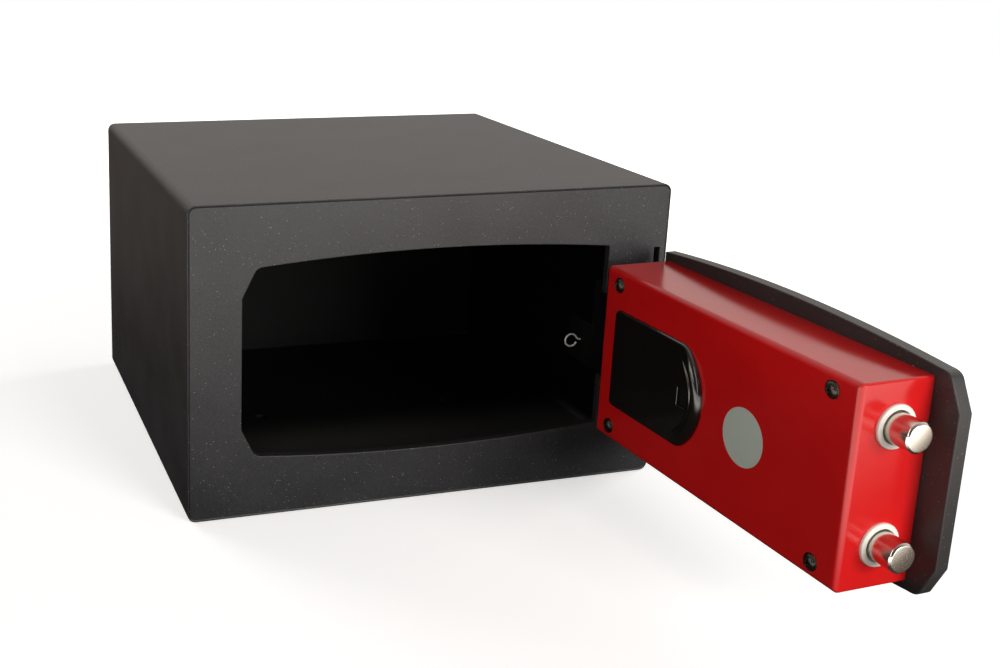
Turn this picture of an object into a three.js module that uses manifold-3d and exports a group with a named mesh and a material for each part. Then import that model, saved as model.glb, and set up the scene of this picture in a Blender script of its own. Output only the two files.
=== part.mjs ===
// Portable car safe: a sheet steel body with an arched doorway, and a thick door that carries the lock.
// Millimetres, +Z up, +Y from the front face into the safe, origin under the centre of the body.
// The door is drawn shut, with Y counted from the front face, and then swung open about its pin.
import * as THREE from 'three';
import { mergeVertices } from 'three/addons/utils/BufferGeometryUtils.js';
import Module from 'manifold-3d';

const wasm = await Module();
wasm.setup();

// Clearances and shared values
const seatGap = 0.3;
const runGap = 0.5;
const cutOverrun = 6;
const roundSides = 32;
const smallSides = 16;

// Body
const bodyWidth = 352;
const bodyHeight = 220;
const bodyDepth = 330;
const shellWall = 3;
const frontThickness = 6;
const bodyCornerRadius = 6;
const frontEdgeRadius = 3.5;
const anchorHoleRadius = 5;
const anchorSpacing = 160;

// Doorway, measured in from the body's sides, top and base
const doorwayLeftMargin = 37;
const doorwayRightMargin = 46.2;
const doorwayEndMargin = 43.3;
const doorwayChamferRun = 8.4;
const doorwayChamferRise = 17.3;
const doorwayCornerDrop = 20.7;
const doorwayCornerRun = 16.6;
const doorwayArchRise = 5.9;
const reliefSlotMargin = 9.6;
const reliefSlotWidth = 4.1;
const reliefSlotShortfall = 3.2;

// Door plate and hinge
const doorThickness = 8.8;
const doorGap = 1;
const doorHingeSideGap = 2.5;
const doorEdgeBevel = 0.7;
const doorOpenAngle = 92.6;
const pivotMargin = 17.35;
const pivotDepth = 11.25;
const pinRadius = 3.8;
const pinHeadRadius = 6.2;
const pinHeadHeight = 3;
const pinTail = 6;
const barrelRadius = 6.5;
const leafThickness = 4.7;
const leafToPost = 16.95;
const leafReach = 78;
const leafWindowGap = 1.5;

// Hinge bracket, the tab that it is pinned to, and the split pin
const bracketSheet = 3;
const earThickness = 4;
const earReach = 7.6;
const webDepth = 24;
const flangeMargin = 40;
const flangeEnd = 60;
const flangeTopDrop = 1;
const splitPinDepth = 43;
const splitPinRadius = 1.3;
const splitPinEyeRadius = 4;
const splitPinWire = 1;
const splitPinTail = 5;

// Lock cover, measured in from the edges of the door plate
const coverHingeInset = 4.4;
const coverFreeInset = 19;
const coverEdgeInset = 6.05;
const coverDepth = 49.3;
const coverSheet = 1.5;
const coverBend = 2.5;
const coverCornerRadius = 3;

// Cover screws and their posts
const screwEndInset = 16.8;
const screwFreeInset = 20;
const screwEdgeInset = 9.7;
const screwRadius = 2;
const screwLength = 14;
const screwHeadRadius = 4.8;
const screwHeadHeight = 2.6;
const postRadius = 4;
const postBoreRadius = 2.4;
const postBoreDepth = 16;

// Bolts and their bushings
const boltRadius = 9;
const boltEdgeInset = 26.15;
const boltDepth = 31.9;
const boltProjection = 18.3;
const boltThrow = 15;
const boltChamfer = 1.2;
const boltSpigotRadius = 4.7;
const boltSpigotLength = 8;
const bushingFlangeRadius = 13;
const bushingFlangeThickness = 2.3;
const bushingSleeveRadius = 10.8;
const bushingSleeveLength = 9;
const boltRunGap = 0.3;

// Bolt keeper behind the left edge of the doorway
const keeperSheet = 4;
const keeperOffset = 4;
const keeperDepth = 50;
const keeperMargin = 8.5;

// Boltwork, with places along the cover as shares of its length from the free end
const boltShoulderShare = 0.16;
const guidePostShare = 0.22;
const knobShare = 0.285;
const carrierEndShare = 0.376;
const solenoidShare = 0.434;
const overrideShare = 0.459;
const baseHeightShare = 0.7585;
const tongueHeightShare = 0.198;
const baseSheet = 2;
const baseMargin = 6;
const carrierDepth = 17;
const carrierSheet = 3;
const carrierMargin = 2.5;
const lugThickness = 4;
const lugHalf = 9;
const tongueHook = 2.5;
const guidePostSpacing = 36;
const guidePostRadius = 3;
const guideHeadRadius = 5.6;
const guideHeadThickness = 2;
const crankArm = 10.6;
const crankRadius = 14;
const crankThickness = 3;
const crankPinRadius = 2.5;
const crankSlotGap = 0.5;

// Knob on the outside, with its spindle through the door
const knobRestAngle = 45;
const knobRadius = 19;
const knobBaseThickness = 5;
const knobGripThickness = 12;
const knobGripHeight = 18;
const knobClearance = 0.8;
const spindleRadius = 4;
const rosetteRadius = 24;
const rosetteThickness = 2;

// Solenoid that drops its plunger into the carrier
const solenoidWidth = 20;
const solenoidThickness = 16;
const solenoidHeight = 24;
const solenoidDrop = 4;
const plungerRadius = 3.5;
const plungerTravel = 3;
const plungerInside = 18;

// Override lock
const overrideRiseShare = 0.4946;
const overrideRadius = 9;
const overrideFlangeRadius = 11.5;
const overrideFlange = 2;
const overrideReach = 22;
const plugRadius = 6;
const keywayWidth = 1.4;
const keywayHeight = 7;
const keywayDepth = 12;
const camThickness = 2;
const camLength = 15;
const camWidth = 8;

// Keypad, between the override lock and the hinge end, with its keys and its window
const keypadHingeShare = 0.1236;
const keypadGap = 11.5;
const keypadEdgeInset = 9.7;
const keypadThickness = 8;
const keypadCornerRadius = 9;
const keyRows = 4;
const keyColumns = 3;
const keySideBorder = 7.5;
const keyBottomBorder = 6;
const keyTopBorder = 32;
const keySpacing = 6;
const keyCornerRadius = 2.5;
const keyThickness = 6;
const keyProud = 1.6;
const keyTravel = 1;
const keyPocketGap = 0.6;
const windowWidthShare = 0.564;
const windowHeight = 14;
const windowTopInset = 17;
const windowThickness = 2.4;

// Circuit board
const boardWidthShare = 0.756;
const boardSideInset = 1;
const boardEdgeInset = 16.65;
const boardDepth = 14;
const boardThickness = 1.6;

// Battery holder, cells and battery cover
const cellCount = 4;
const cellGap = 0.7;
const cellLength = 49.5;
const cellCapShare = 0.38;
const cellCapLength = 1;
const cellEndRoom = 4.1;
const cellFromHingeEnd = 28;
const trayWall = 1.6;
const cellCoverGap = 5.7;
const batteryCoverInset = 16.8;
const batteryCoverBowShare = 0.1988;
const batteryCoverLength = 98.6;
const batteryCoverEdgeInset = 26.15;
const batteryCoverThickness = 2.5;
const batteryCoverCornerRadius = 4.5;
const batteryCoverBevel = 0.8;
const batteryApertureMargin = 4.5;
const latchFromBowEnd = 22.9;
const latchWidth = 8;
const latchHeight = 13;
const latchSink = 1.2;

// Bare round label
const labelRadius = 18.2;
const labelFromHingeEnd = 155.4;
const labelDrop = 3.9;
const labelThickness = 0.3;

// Places of the body and the doorway that follow from the sizes above
const midHeight = bodyHeight / 2;
const wallInside = bodyWidth / 2 - shellWall;
const doorwayLeft = bodyWidth / 2 - doorwayLeftMargin;
const doorwayRight = bodyWidth / 2 - doorwayRightMargin;
const doorwayEndHalf = midHeight - doorwayEndMargin;

// Places of the lock cover and of what it holds
const coverHingeEnd = doorwayRight - doorHingeSideGap - coverHingeInset;
const coverFreeEnd = coverFreeInset + doorGap - doorwayLeft;
const coverLength = coverHingeEnd - coverFreeEnd;
const coverHalf = doorwayEndHalf - coverEdgeInset;
const coverInnerFace = doorThickness + coverDepth;
const coverInside = coverInnerFace - coverSheet;
const screwPlacesX = [coverHingeEnd - screwEndInset, coverFreeEnd + screwFreeInset];
const screwRise = coverHalf - screwEdgeInset;
const boltRise = coverHalf - boltEdgeInset;
const boltTip = coverFreeEnd - boltProjection;
const boltShoulder = coverFreeEnd + boltShoulderShare * coverLength;
const carrierHalf = boltRise + lugHalf + carrierMargin;
const carrierRight = coverFreeEnd + carrierEndShare * coverLength;
const guidePostX = coverFreeEnd + guidePostShare * coverLength;
const knobX = coverFreeEnd + knobShare * coverLength;
const solenoidX = coverFreeEnd + solenoidShare * coverLength;
const tongueHalf = tongueHeightShare * coverHalf;
const solenoidTop = midHeight - tongueHalf - solenoidDrop;
const overrideX = coverFreeEnd + overrideShare * coverLength;
const overrideRise = overrideRiseShare * coverHalf;
const batteryCoverFace = coverInnerFace + seatGap + batteryCoverThickness;
const batteryCoverHalf = coverHalf - batteryCoverEdgeInset;
const batteryCoverEnd = coverHingeEnd - batteryCoverInset - batteryCoverLength;
const cellPitch = 2 * (batteryCoverHalf - cellEndRoom) / cellCount;
const cellRadius = (cellPitch - cellGap) / 2;
const cellDepth = coverInnerFace - cellCoverGap - cellRadius;
const trayFloorDepth = cellDepth - cellRadius - seatGap - trayWall;

// Places of the keypad
const keypadLeft = overrideX + overrideFlangeRadius + keypadGap;
const keypadRight = coverHingeEnd - keypadHingeShare * coverLength;
const keypadX = (keypadLeft + keypadRight) / 2;
const keypadWidth = keypadRight - keypadLeft;
const keypadHeight = 2 * (doorwayEndHalf - doorGap - keypadEdgeInset);
const keypadFloor = -keypadThickness - seatGap;
const keyPitchX = (keypadWidth - 2 * keySideBorder) / keyColumns;
const keyPitchZ = (keypadHeight - keyBottomBorder - keyTopBorder) / keyRows;
const keyWidth = keyPitchX - keySpacing;
const keyHeight = keyPitchZ - keySpacing;
const windowWidth = windowWidthShare * keypadWidth;
const windowZ = midHeight + keypadHeight / 2 - windowTopInset;

// Places of the hinge
const pivotX = bodyWidth / 2 - pivotMargin;
const leafHalf = screwRise - postRadius - leafToPost;
const flangeLeft = bodyWidth / 2 - flangeMargin;
const earStart = leafHalf + runGap;
const earEnd = earStart + earThickness;
const splitPinZ = midHeight - (earEnd + flangeTopDrop) / 2;

// Turns a closed geometry into a solid that can be cut and joined.
function solidFrom(geometry) {
  const bare = geometry.index ? geometry.toNonIndexed() : geometry.clone();
  bare.deleteAttribute('normal');
  bare.deleteAttribute('uv');
  const merged = mergeVertices(bare);
  const mesh = new wasm.Mesh({
    numProp: 3,
    vertProperties: new Float32Array(merged.attributes.position.array),
    triVerts: new Uint32Array(merged.index.array),
  });
  return new wasm.Manifold(mesh);
}

// Turns a solid back into a geometry that a mesh can show.
function geometryFrom(solid) {
  const mesh = solid.getMesh();
  const geometry = new THREE.BufferGeometry();
  geometry.setAttribute('position', new THREE.BufferAttribute(new Float32Array(mesh.vertProperties), 3));
  geometry.setIndex(new THREE.BufferAttribute(new Uint32Array(mesh.triVerts), 1));
  return geometry;
}

// Starts with the first solid and cuts all the others out of it.
function cut(solid, ...tools) {
  return tools.reduce((rest, tool) => rest.subtract(tool), solid);
}

// Joins solids that share some volume.
function join(...solids) {
  return solids.reduce((whole, solid) => whole.add(solid));
}

// Makes a block between two faces on each axis.
function block(x0, x1, y0, y1, z0, z1) {
  const geometry = new THREE.BoxGeometry(x1 - x0, y1 - y0, z1 - z0);
  geometry.translate((x0 + x1) / 2, (y0 + y1) / 2, (z0 + z1) / 2);
  return solidFrom(geometry);
}

// Makes round bars along X, Y and Z, between two faces and about a centre.
function rodX(radius, x0, x1, y, z, sides = smallSides) {
  const geometry = new THREE.CylinderGeometry(radius, radius, x1 - x0, sides);
  geometry.rotateZ(-Math.PI / 2).translate((x0 + x1) / 2, y, z);
  return solidFrom(geometry);
}

function rodY(radius, y0, y1, x, z, sides = smallSides) {
  const geometry = new THREE.CylinderGeometry(radius, radius, y1 - y0, sides);
  geometry.translate(x, (y0 + y1) / 2, z);
  return solidFrom(geometry);
}

function rodZ(radius, z0, z1, x, y, sides = smallSides) {
  const geometry = new THREE.CylinderGeometry(radius, radius, z1 - z0, sides);
  geometry.rotateX(Math.PI / 2).translate(x, y, (z0 + z1) / 2);
  return solidFrom(geometry);
}

// Turns a profile of radius and place into a round piece about the Y axis, moved to x and z.
function turnedY(profile, x, z, sides = roundSides) {
  const points = profile.map(([radius, place]) => new THREE.Vector2(radius, place));
  const geometry = new THREE.LatheGeometry(points, sides);
  return solidFrom(geometry.translate(x, 0, z));
}

// Turns a profile of radius and place into a round piece about the X axis, moved to y and z.
function turnedX(profile, y, z, sides = roundSides) {
  const points = profile.map(([radius, place]) => new THREE.Vector2(radius, place));
  const geometry = new THREE.LatheGeometry(points, sides);
  return solidFrom(geometry.rotateZ(-Math.PI / 2).translate(0, y, z));
}

// Sweeps a shape drawn in X and Z along Y, from y0 to y1, with a bevel inside those faces.
function slabY(shape, y0, y1, bevel = 0, curveSegments = 4, bevelSegments = 2) {
  const geometry = new THREE.ExtrudeGeometry(shape, {
    depth: y1 - y0 - 2 * bevel,
    curveSegments,
    bevelEnabled: bevel > 0,
    bevelThickness: bevel,
    bevelSize: bevel,
    bevelOffset: -bevel,
    bevelSegments,
  });
  return solidFrom(geometry.rotateX(Math.PI / 2).translate(0, y1 - bevel, 0));
}

// Draws a rectangle with rounded corners about a centre.
function roundedRectangle(width, height, cornerRadius, x = 0, z = 0) {
  const radius = Math.min(cornerRadius, width / 3, height / 3);
  const shape = new THREE.Shape();
  const right = x + width / 2;
  const left = x - width / 2;
  const top = z + height / 2;
  const bottom = z - height / 2;
  shape.moveTo(right, bottom + radius);
  shape.absarc(right - radius, top - radius, radius, 0, Math.PI / 2);
  shape.absarc(left + radius, top - radius, radius, Math.PI / 2, Math.PI);
  shape.absarc(left + radius, bottom + radius, radius, Math.PI, 1.5 * Math.PI);
  shape.absarc(right - radius, bottom + radius, radius, 1.5 * Math.PI, 2 * Math.PI);
  return shape;
}

// Draws the doorway, drawn in by inset at the left, top and bottom and by rightInset at the hinge side.
function doorwayShape(inset, rightInset) {
  const left = inset - doorwayLeft;
  const right = doorwayRight - rightInset;
  const endHalf = doorwayEndHalf - inset;
  const sideHalf = endHalf - doorwayCornerDrop;
  const archLeft = doorwayCornerRun + left;
  const middle = (archLeft + right) / 2;
  const halfChord = (right - archLeft) / 2;
  const radius = (halfChord ** 2 + doorwayArchRise ** 2) / (2 * doorwayArchRise);
  const sweep = Math.asin(halfChord / radius);
  const archCentre = endHalf + doorwayArchRise - radius;
  const chamferX = left + doorwayChamferRun;
  const chamferHalf = sideHalf + doorwayChamferRise;
  const cornerX = left + doorwayChamferRun * (endHalf - sideHalf) / doorwayChamferRise;
  const shape = new THREE.Shape();
  shape.moveTo(left, midHeight - sideHalf);
  shape.lineTo(chamferX, midHeight - chamferHalf);
  shape.quadraticCurveTo(cornerX, midHeight - endHalf, archLeft, midHeight - endHalf);
  shape.absarc(middle, midHeight - archCentre, radius, -Math.PI / 2 - sweep, -Math.PI / 2 + sweep);
  shape.absarc(middle, midHeight + archCentre, radius, Math.PI / 2 - sweep, Math.PI / 2 + sweep);
  shape.quadraticCurveTo(cornerX, midHeight + endHalf, chamferX, midHeight + chamferHalf);
  shape.lineTo(left, midHeight + sideHalf);
  return shape;
}

// The body: one sheet wrapped round the top, sides and base, with two anchor holes in the base.
function bodyShell() {
  const start = frontThickness + seatGap;
  const outside = roundedRectangle(bodyWidth, bodyHeight, bodyCornerRadius, 0, midHeight);
  const insideRadius = bodyCornerRadius - shellWall;
  const inside = roundedRectangle(2 * wallInside, bodyHeight - 2 * shellWall, insideRadius, 0, midHeight);
  const hollow = slabY(inside, start - cutOverrun, bodyDepth + cutOverrun);
  const holes = [-1, 1].map((side) => rodZ(
    anchorHoleRadius,
    -cutOverrun,
    shellWall + cutOverrun,
    side * anchorSpacing / 2,
    bodyDepth / 2,
  ));
  return cut(slabY(outside, start, bodyDepth), hollow, ...holes);
}

function backPanel() {
  const width = 2 * (wallInside - seatGap);
  const height = bodyHeight - 2 * (shellWall + seatGap);
  const panel = roundedRectangle(width, height, bodyCornerRadius - shellWall, 0, midHeight);
  const front = bodyDepth - shellWall;
  const holes = [-1, 1].map((side) => rodY(
    anchorHoleRadius,
    front - cutOverrun,
    bodyDepth + cutOverrun,
    side * anchorSpacing / 2,
    midHeight,
  ));
  return cut(slabY(panel, front, bodyDepth), ...holes);
}

// The front plate, with the doorway, the window that the hinge leaf swings through, and a relief slot.
function frontFrame() {
  const outline = roundedRectangle(bodyWidth, bodyHeight, bodyCornerRadius, 0, midHeight);
  const rounded = slabY(outline, 0, 2 * frontThickness + frontEdgeRadius, frontEdgeRadius);
  const plate = cut(rounded, block(
    -bodyWidth,
    bodyWidth,
    frontThickness,
    3 * frontThickness + frontEdgeRadius,
    -cutOverrun,
    bodyHeight + cutOverrun,
  ));
  const slotLeft = bodyWidth / 2 - reliefSlotMargin;
  const slotRight = slotLeft + reliefSlotWidth;
  const slotHalf = doorwayEndHalf - reliefSlotShortfall;
  const windowHalf = leafHalf + leafWindowGap;
  const deep = frontThickness + cutOverrun;
  const doorway = slabY(doorwayShape(0, 0), -cutOverrun, deep, 0, 12);
  const slot = block(
    slotLeft,
    slotRight,
    -cutOverrun,
    deep,
    midHeight - slotHalf,
    midHeight + slotHalf,
  );
  const leafWindow = block(
    doorwayRight - cutOverrun,
    slotRight,
    -cutOverrun,
    deep,
    midHeight - windowHalf,
    midHeight + windowHalf,
  );
  return cut(plate, doorway, slot, leafWindow);
}

// The bracket on the right wall: two ears that hold the hinge pin, a web and a flange for the split pin.
function hingeBracket() {
  const right = wallInside - seatGap;
  const webEnd = webDepth + bracketSheet;
  const front = frontThickness + seatGap;
  const ears = [-1, 1].map((side) => {
    const z0 = midHeight + Math.min(side * earStart, side * earEnd);
    return block(pivotX - earReach, right, front, webEnd, z0, z0 + earThickness);
  });
  const web = block(flangeLeft, right, webDepth, webEnd, midHeight - earEnd, midHeight + earEnd);
  const sideLeft = right - bracketSheet;
  const side = block(sideLeft, right, webDepth, flangeEnd, midHeight - earEnd, midHeight + earEnd);
  const flange = block(
    flangeLeft,
    flangeLeft + bracketSheet,
    webDepth,
    flangeEnd,
    midHeight - earEnd,
    midHeight - flangeTopDrop,
  );
  const pinHole = rodZ(
    pinRadius + seatGap,
    midHeight - earEnd - cutOverrun,
    midHeight + earEnd + cutOverrun,
    pivotX,
    pivotDepth,
  );
  return cut(join(web, side, flange, ...ears), pinHole, splitPinHole());
}

// The hole that the split pin passes through, in the bracket's flange and in the tab behind it.
function splitPinHole() {
  const left = flangeLeft - cutOverrun;
  const right = flangeLeft + 2 * bracketSheet + cutOverrun;
  return rodX(splitPinRadius + seatGap, left, right, splitPinDepth, splitPinZ);
}

// The tab welded to the right wall, which the bracket's flange is pinned to.
function bracketTab() {
  const left = flangeLeft + bracketSheet + seatGap;
  const right = wallInside - bracketSheet - 2 * seatGap;
  const start = webDepth + bracketSheet + seatGap;
  const bottom = midHeight - earEnd;
  const top = midHeight - flangeTopDrop;
  const leg = block(left, left + bracketSheet, start, flangeEnd, bottom, top);
  const foot = block(left, right, flangeEnd - bracketSheet, flangeEnd, bottom, top);
  return cut(join(leg, foot), splitPinHole());
}

// The split pin: an eye, a double shank through both holes, and two tails bent apart.
function splitPin() {
  const shankEnd = flangeLeft + 2 * bracketSheet + 2 * seatGap + splitPinTail / 2;
  const eyeCentre = flangeLeft - splitPinEyeRadius - 2 * splitPinWire;
  const eye = new THREE.TorusGeometry(splitPinEyeRadius, splitPinWire, 8, smallSides);
  eye.rotateX(Math.PI / 2).translate(eyeCentre, splitPinDepth, splitPinZ);
  const shankStart = eyeCentre + splitPinEyeRadius;
  const shank = rodX(splitPinRadius, shankStart, shankEnd, splitPinDepth, splitPinZ, 12);
  const tails = [-1, 1].map((side) => {
    const tail = new THREE.CylinderGeometry(splitPinWire, splitPinWire, splitPinTail, 8);
    tail.translate(0, splitPinTail / 2, 0).rotateZ(-side * Math.PI / 4);
    tail.rotateY(Math.PI / 2).rotateZ(-Math.PI / 2);
    return solidFrom(tail.translate(shankEnd - splitPinWire, splitPinDepth, splitPinZ));
  });
  return join(solidFrom(eye), shank, ...tails);
}

function hingePin() {
  const top = midHeight + earEnd + seatGap;
  const bottom = midHeight - earEnd - pinTail;
  const shaft = rodZ(pinRadius, bottom, top + pinHeadHeight / 2, pivotX, pivotDepth);
  const head = rodZ(pinHeadRadius, top, top + pinHeadHeight, pivotX, pivotDepth + pinHeadRadius / 4);
  return join(shaft, head);
}

// The keeper: an angle behind the left edge of the doorway with a hole for each bolt.
function boltKeeper() {
  const right = -doorwayLeft - keeperOffset;
  const front = frontThickness + seatGap;
  const half = boltRise + boltRadius + keeperMargin;
  const bottom = midHeight - half;
  const top = midHeight + half;
  const leg = block(right - keeperSheet, right, front, keeperDepth, bottom, top);
  const foot = block(-wallInside + seatGap, right, front, front + keeperSheet, bottom, top);
  const holes = [-1, 1].map((side) => rodX(
    boltRadius + 2 * runGap,
    right - keeperSheet - cutOverrun,
    right + cutOverrun,
    boltDepth,
    midHeight + side * boltRise,
  ));
  return cut(join(leg, foot), ...holes);
}

// The door: a thick steel plate with the doorway's outline, drilled for the knob, the key and the cable.
function doorPlate() {
  const plate = slabY(doorwayShape(doorGap, doorHingeSideGap), 0, doorThickness, doorEdgeBevel, 12, 1);
  const deep = doorThickness + cutOverrun;
  const spindleHole = rodY(spindleRadius + runGap, -cutOverrun, deep, knobX, midHeight);
  const keyHole = rodY(overrideRadius + seatGap, -cutOverrun, deep, overrideX, midHeight + overrideRise);
  const cableHole = rodY(spindleRadius, -cutOverrun, deep, keypadX, midHeight);
  return cut(plate, spindleHole, keyHole, cableHole);
}

// The hinge leaf: a flat bar along the inside of the door that ends in a barrel round the pin.
function hingeLeaf() {
  const near = doorThickness + seatGap;
  const bottom = midHeight - leafHalf;
  const top = midHeight + leafHalf;
  const bar = block(pivotX - leafReach, pivotX, near, near + leafThickness, bottom, top);
  const barrel = rodZ(barrelRadius, bottom, top, pivotX, pivotDepth, roundSides);
  const bore = rodZ(pinRadius + seatGap, bottom - cutOverrun, top + cutOverrun, pivotX, pivotDepth);
  return cut(join(bar, barrel), bore);
}

// The outline of the battery cover, grown by margin: straight at the hinge side, bowed at the other end.
function batteryOutline(margin) {
  const right = coverHingeEnd - batteryCoverInset + margin;
  const straightEnd = batteryCoverEnd + batteryCoverBowShare * batteryCoverLength;
  const half = batteryCoverHalf + margin;
  const bowEnd = batteryCoverEnd - margin;
  const bow = straightEnd - bowEnd;
  const radius = batteryCoverCornerRadius;
  const bowRadius = (half ** 2 + bow ** 2) / (2 * bow);
  const sweep = Math.asin(half / bowRadius);
  const shape = new THREE.Shape();
  shape.moveTo(straightEnd, midHeight - half);
  shape.absarc(right - radius, midHeight - half + radius, radius, -Math.PI / 2, 0);
  shape.absarc(right - radius, midHeight + half - radius, radius, 0, Math.PI / 2);
  shape.absarc(bowEnd + bowRadius, midHeight, bowRadius, Math.PI - sweep, Math.PI + sweep);
  return shape;
}

// The lock cover: a folded tray over the whole lock, with holes for what passes through it.
function lockCover() {
  const width = coverHingeEnd - coverFreeEnd;
  const middle = (coverHingeEnd + coverFreeEnd) / 2;
  const near = doorThickness + seatGap;
  const back = near - 2 * coverBend;
  const outline = roundedRectangle(width, 2 * coverHalf, coverCornerRadius, middle, midHeight);
  const hollow = roundedRectangle(
    width - 2 * coverSheet,
    2 * (coverHalf - coverSheet),
    coverCornerRadius - coverSheet,
    middle,
    midHeight,
  );
  const tray = cut(
    slabY(outline, back, coverInnerFace, coverBend),
    slabY(hollow, back - cutOverrun, coverInside, coverBend - coverSheet),
    block(-bodyWidth, bodyWidth, back - cutOverrun, near, 0, bodyHeight),
  );
  const leafNotch = block(
    coverHingeEnd - coverSheet - cutOverrun,
    coverHingeEnd + cutOverrun,
    near - cutOverrun,
    near + leafThickness + runGap,
    midHeight - leafHalf - runGap,
    midHeight + leafHalf + runGap,
  );
  const batteryHole = slabY(
    batteryOutline(-batteryApertureMargin),
    coverInside - cutOverrun,
    coverInnerFace + cutOverrun,
    0,
    8,
  );
  return cut(tray, leafNotch, batteryHole, ...coverScrewHoles(), ...coverBoltHoles());
}

function coverScrewHoles() {
  return screwPlacesX.flatMap((x) => [-1, 1].map((side) => rodY(
    screwRadius + seatGap,
    coverInside - cutOverrun,
    coverInnerFace + cutOverrun,
    x,
    midHeight + side * screwRise,
  )));
}

function coverBoltHoles() {
  return [-1, 1].map((side) => rodX(
    bushingSleeveRadius + seatGap,
    coverFreeEnd - cutOverrun,
    coverFreeEnd + coverSheet + cutOverrun,
    boltDepth,
    midHeight + side * boltRise,
  ));
}

// A screw of the cover, with a domed head and a cross recess.
function coverScrew(x, z) {
  const seat = coverInnerFace + seatGap;
  const profile = [
    [0, seat - screwLength],
    [screwRadius, seat - screwLength],
    [screwRadius, seat],
    [screwHeadRadius, seat],
    [screwHeadRadius, seat + screwHeadHeight / 4],
    [screwHeadRadius - screwHeadHeight / 2, seat + 0.8 * screwHeadHeight],
    [0, seat + screwHeadHeight],
  ];
  const recess = screwHeadHeight / 5;
  const sink = seat + screwHeadHeight / 2;
  const reach = screwHeadRadius / 2;
  return cut(
    turnedY(profile, x, z, smallSides),
    block(x - reach, x + reach, sink, sink + cutOverrun, z - recess, z + recess),
    block(x - recess, x + recess, sink, sink + cutOverrun, z - reach, z + reach),
  );
}

// A post that stands on the door plate and takes one cover screw in its bored end.
function coverPost(x, z) {
  const near = doorThickness + seatGap;
  const far = coverInside - seatGap;
  const post = rodY(postRadius, near, far, x, z, 12);
  return cut(post, rodY(postBoreRadius, far - postBoreDepth, far + cutOverrun, x, z, 12));
}

// A bolt: a thick bar with a chamfered tip and a thinner spigot that the carrier holds.
function bolt(z) {
  const profile = [
    [0, boltTip],
    [boltRadius - boltChamfer, boltTip],
    [boltRadius, boltTip + boltChamfer],
    [boltRadius, boltShoulder],
    [boltSpigotRadius, boltShoulder],
    [boltSpigotRadius, boltShoulder + boltSpigotLength],
    [0, boltShoulder + boltSpigotLength],
  ];
  return turnedX(profile, boltDepth, z);
}

// A nylon bushing that lines the hole in the cover's end, with its flange outside.
function boltBushing(z) {
  const face = coverFreeEnd - seatGap;
  const flange = rodX(bushingFlangeRadius, face - bushingFlangeThickness, face, boltDepth, z, roundSides);
  const sleeve = rodX(
    bushingSleeveRadius,
    face - bushingFlangeThickness / 2,
    face + bushingSleeveLength,
    boltDepth,
    z,
    roundSides,
  );
  const bore = rodX(
    boltRadius + boltRunGap,
    face - bushingFlangeThickness - cutOverrun,
    face + bushingSleeveLength + cutOverrun,
    boltDepth,
    z,
    roundSides,
  );
  return cut(join(flange, sleeve), bore);
}

// The steel sheet on the inside of the door that carries the boltwork.
function lockBase() {
  const near = doorThickness + seatGap;
  const far = near + baseSheet;
  const left = guidePostX - baseMargin;
  const right = overrideX + overrideRadius + baseMargin;
  const half = baseHeightShare * coverHalf;
  const sheet = block(left, right, near, far, midHeight - half, midHeight + half);
  const spindleHole = rodY(spindleRadius + runGap, near - cutOverrun, far + cutOverrun, knobX, midHeight);
  const keyHole = rodY(
    overrideRadius + seatGap,
    near - cutOverrun,
    far + cutOverrun,
    overrideX,
    midHeight + overrideRise,
  );
  return cut(sheet, spindleHole, keyHole);
}

// A shouldered post that guides a slot of the carrier, with a head that keeps the carrier down.
function guidePost(z) {
  const foot = doorThickness + baseSheet + 2 * seatGap;
  const headNear = carrierDepth + carrierSheet + seatGap;
  const shaft = rodY(guidePostRadius, foot, headNear + guideHeadThickness / 2, guidePostX, z);
  const head = rodY(guideHeadRadius, headNear, headNear + guideHeadThickness, guidePostX, z);
  return join(shaft, head);
}

// The carrier: a sliding sheet with a lug for each bolt, guide slots, the crank slot and a notched tongue.
function boltCarrier() {
  const near = carrierDepth;
  const far = carrierDepth + carrierSheet;
  const lugLeft = boltShoulder + seatGap;
  const bottom = midHeight - carrierHalf;
  const top = midHeight + carrierHalf;
  const tongueEnd = solenoidX + boltThrow + plungerRadius + 2 * runGap + tongueHook;
  const sheet = block(lugLeft, carrierRight, near, far, bottom, top);
  const tongue = block(
    carrierRight - carrierSheet,
    tongueEnd,
    near,
    far,
    midHeight - tongueHalf,
    midHeight + tongueHalf,
  );
  const lugs = [-1, 1].map((side) => {
    const z = midHeight + side * boltRise;
    return block(lugLeft, lugLeft + lugThickness, near, boltDepth + lugHalf, z - lugHalf, z + lugHalf);
  });
  const slots = [...spigotHoles(), ...guideSlots(), crankSlot(), ...plungerNotches()];
  return cut(join(sheet, tongue, ...lugs), ...slots);
}

function spigotHoles() {
  return [-1, 1].map((side) => rodX(
    boltSpigotRadius + seatGap,
    boltShoulder - cutOverrun,
    boltShoulder + lugThickness + cutOverrun,
    boltDepth,
    midHeight + side * boltRise,
  ));
}

function guideSlots() {
  const half = guidePostRadius + runGap;
  return [-1, 1].map((side) => {
    const z = midHeight + side * guidePostSpacing / 2;
    return block(
      guidePostX - half,
      guidePostX + boltThrow + half,
      carrierDepth - cutOverrun,
      carrierDepth + carrierSheet + cutOverrun,
      z - half,
      z + half,
    );
  });
}

// The slot that the crank pin works in: as long as the pin rises and falls in a quarter turn.
function crankSlot() {
  const angle = THREE.MathUtils.degToRad(knobRestAngle);
  const centre = knobX + crankArm * Math.sin(angle);
  const half = crankPinRadius + crankSlotGap;
  return block(
    centre - half,
    centre + half,
    carrierDepth - cutOverrun,
    carrierDepth + carrierSheet + cutOverrun,
    midHeight + crankArm * Math.cos(angle) - half,
    midHeight + crankArm + half,
  );
}

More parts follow.
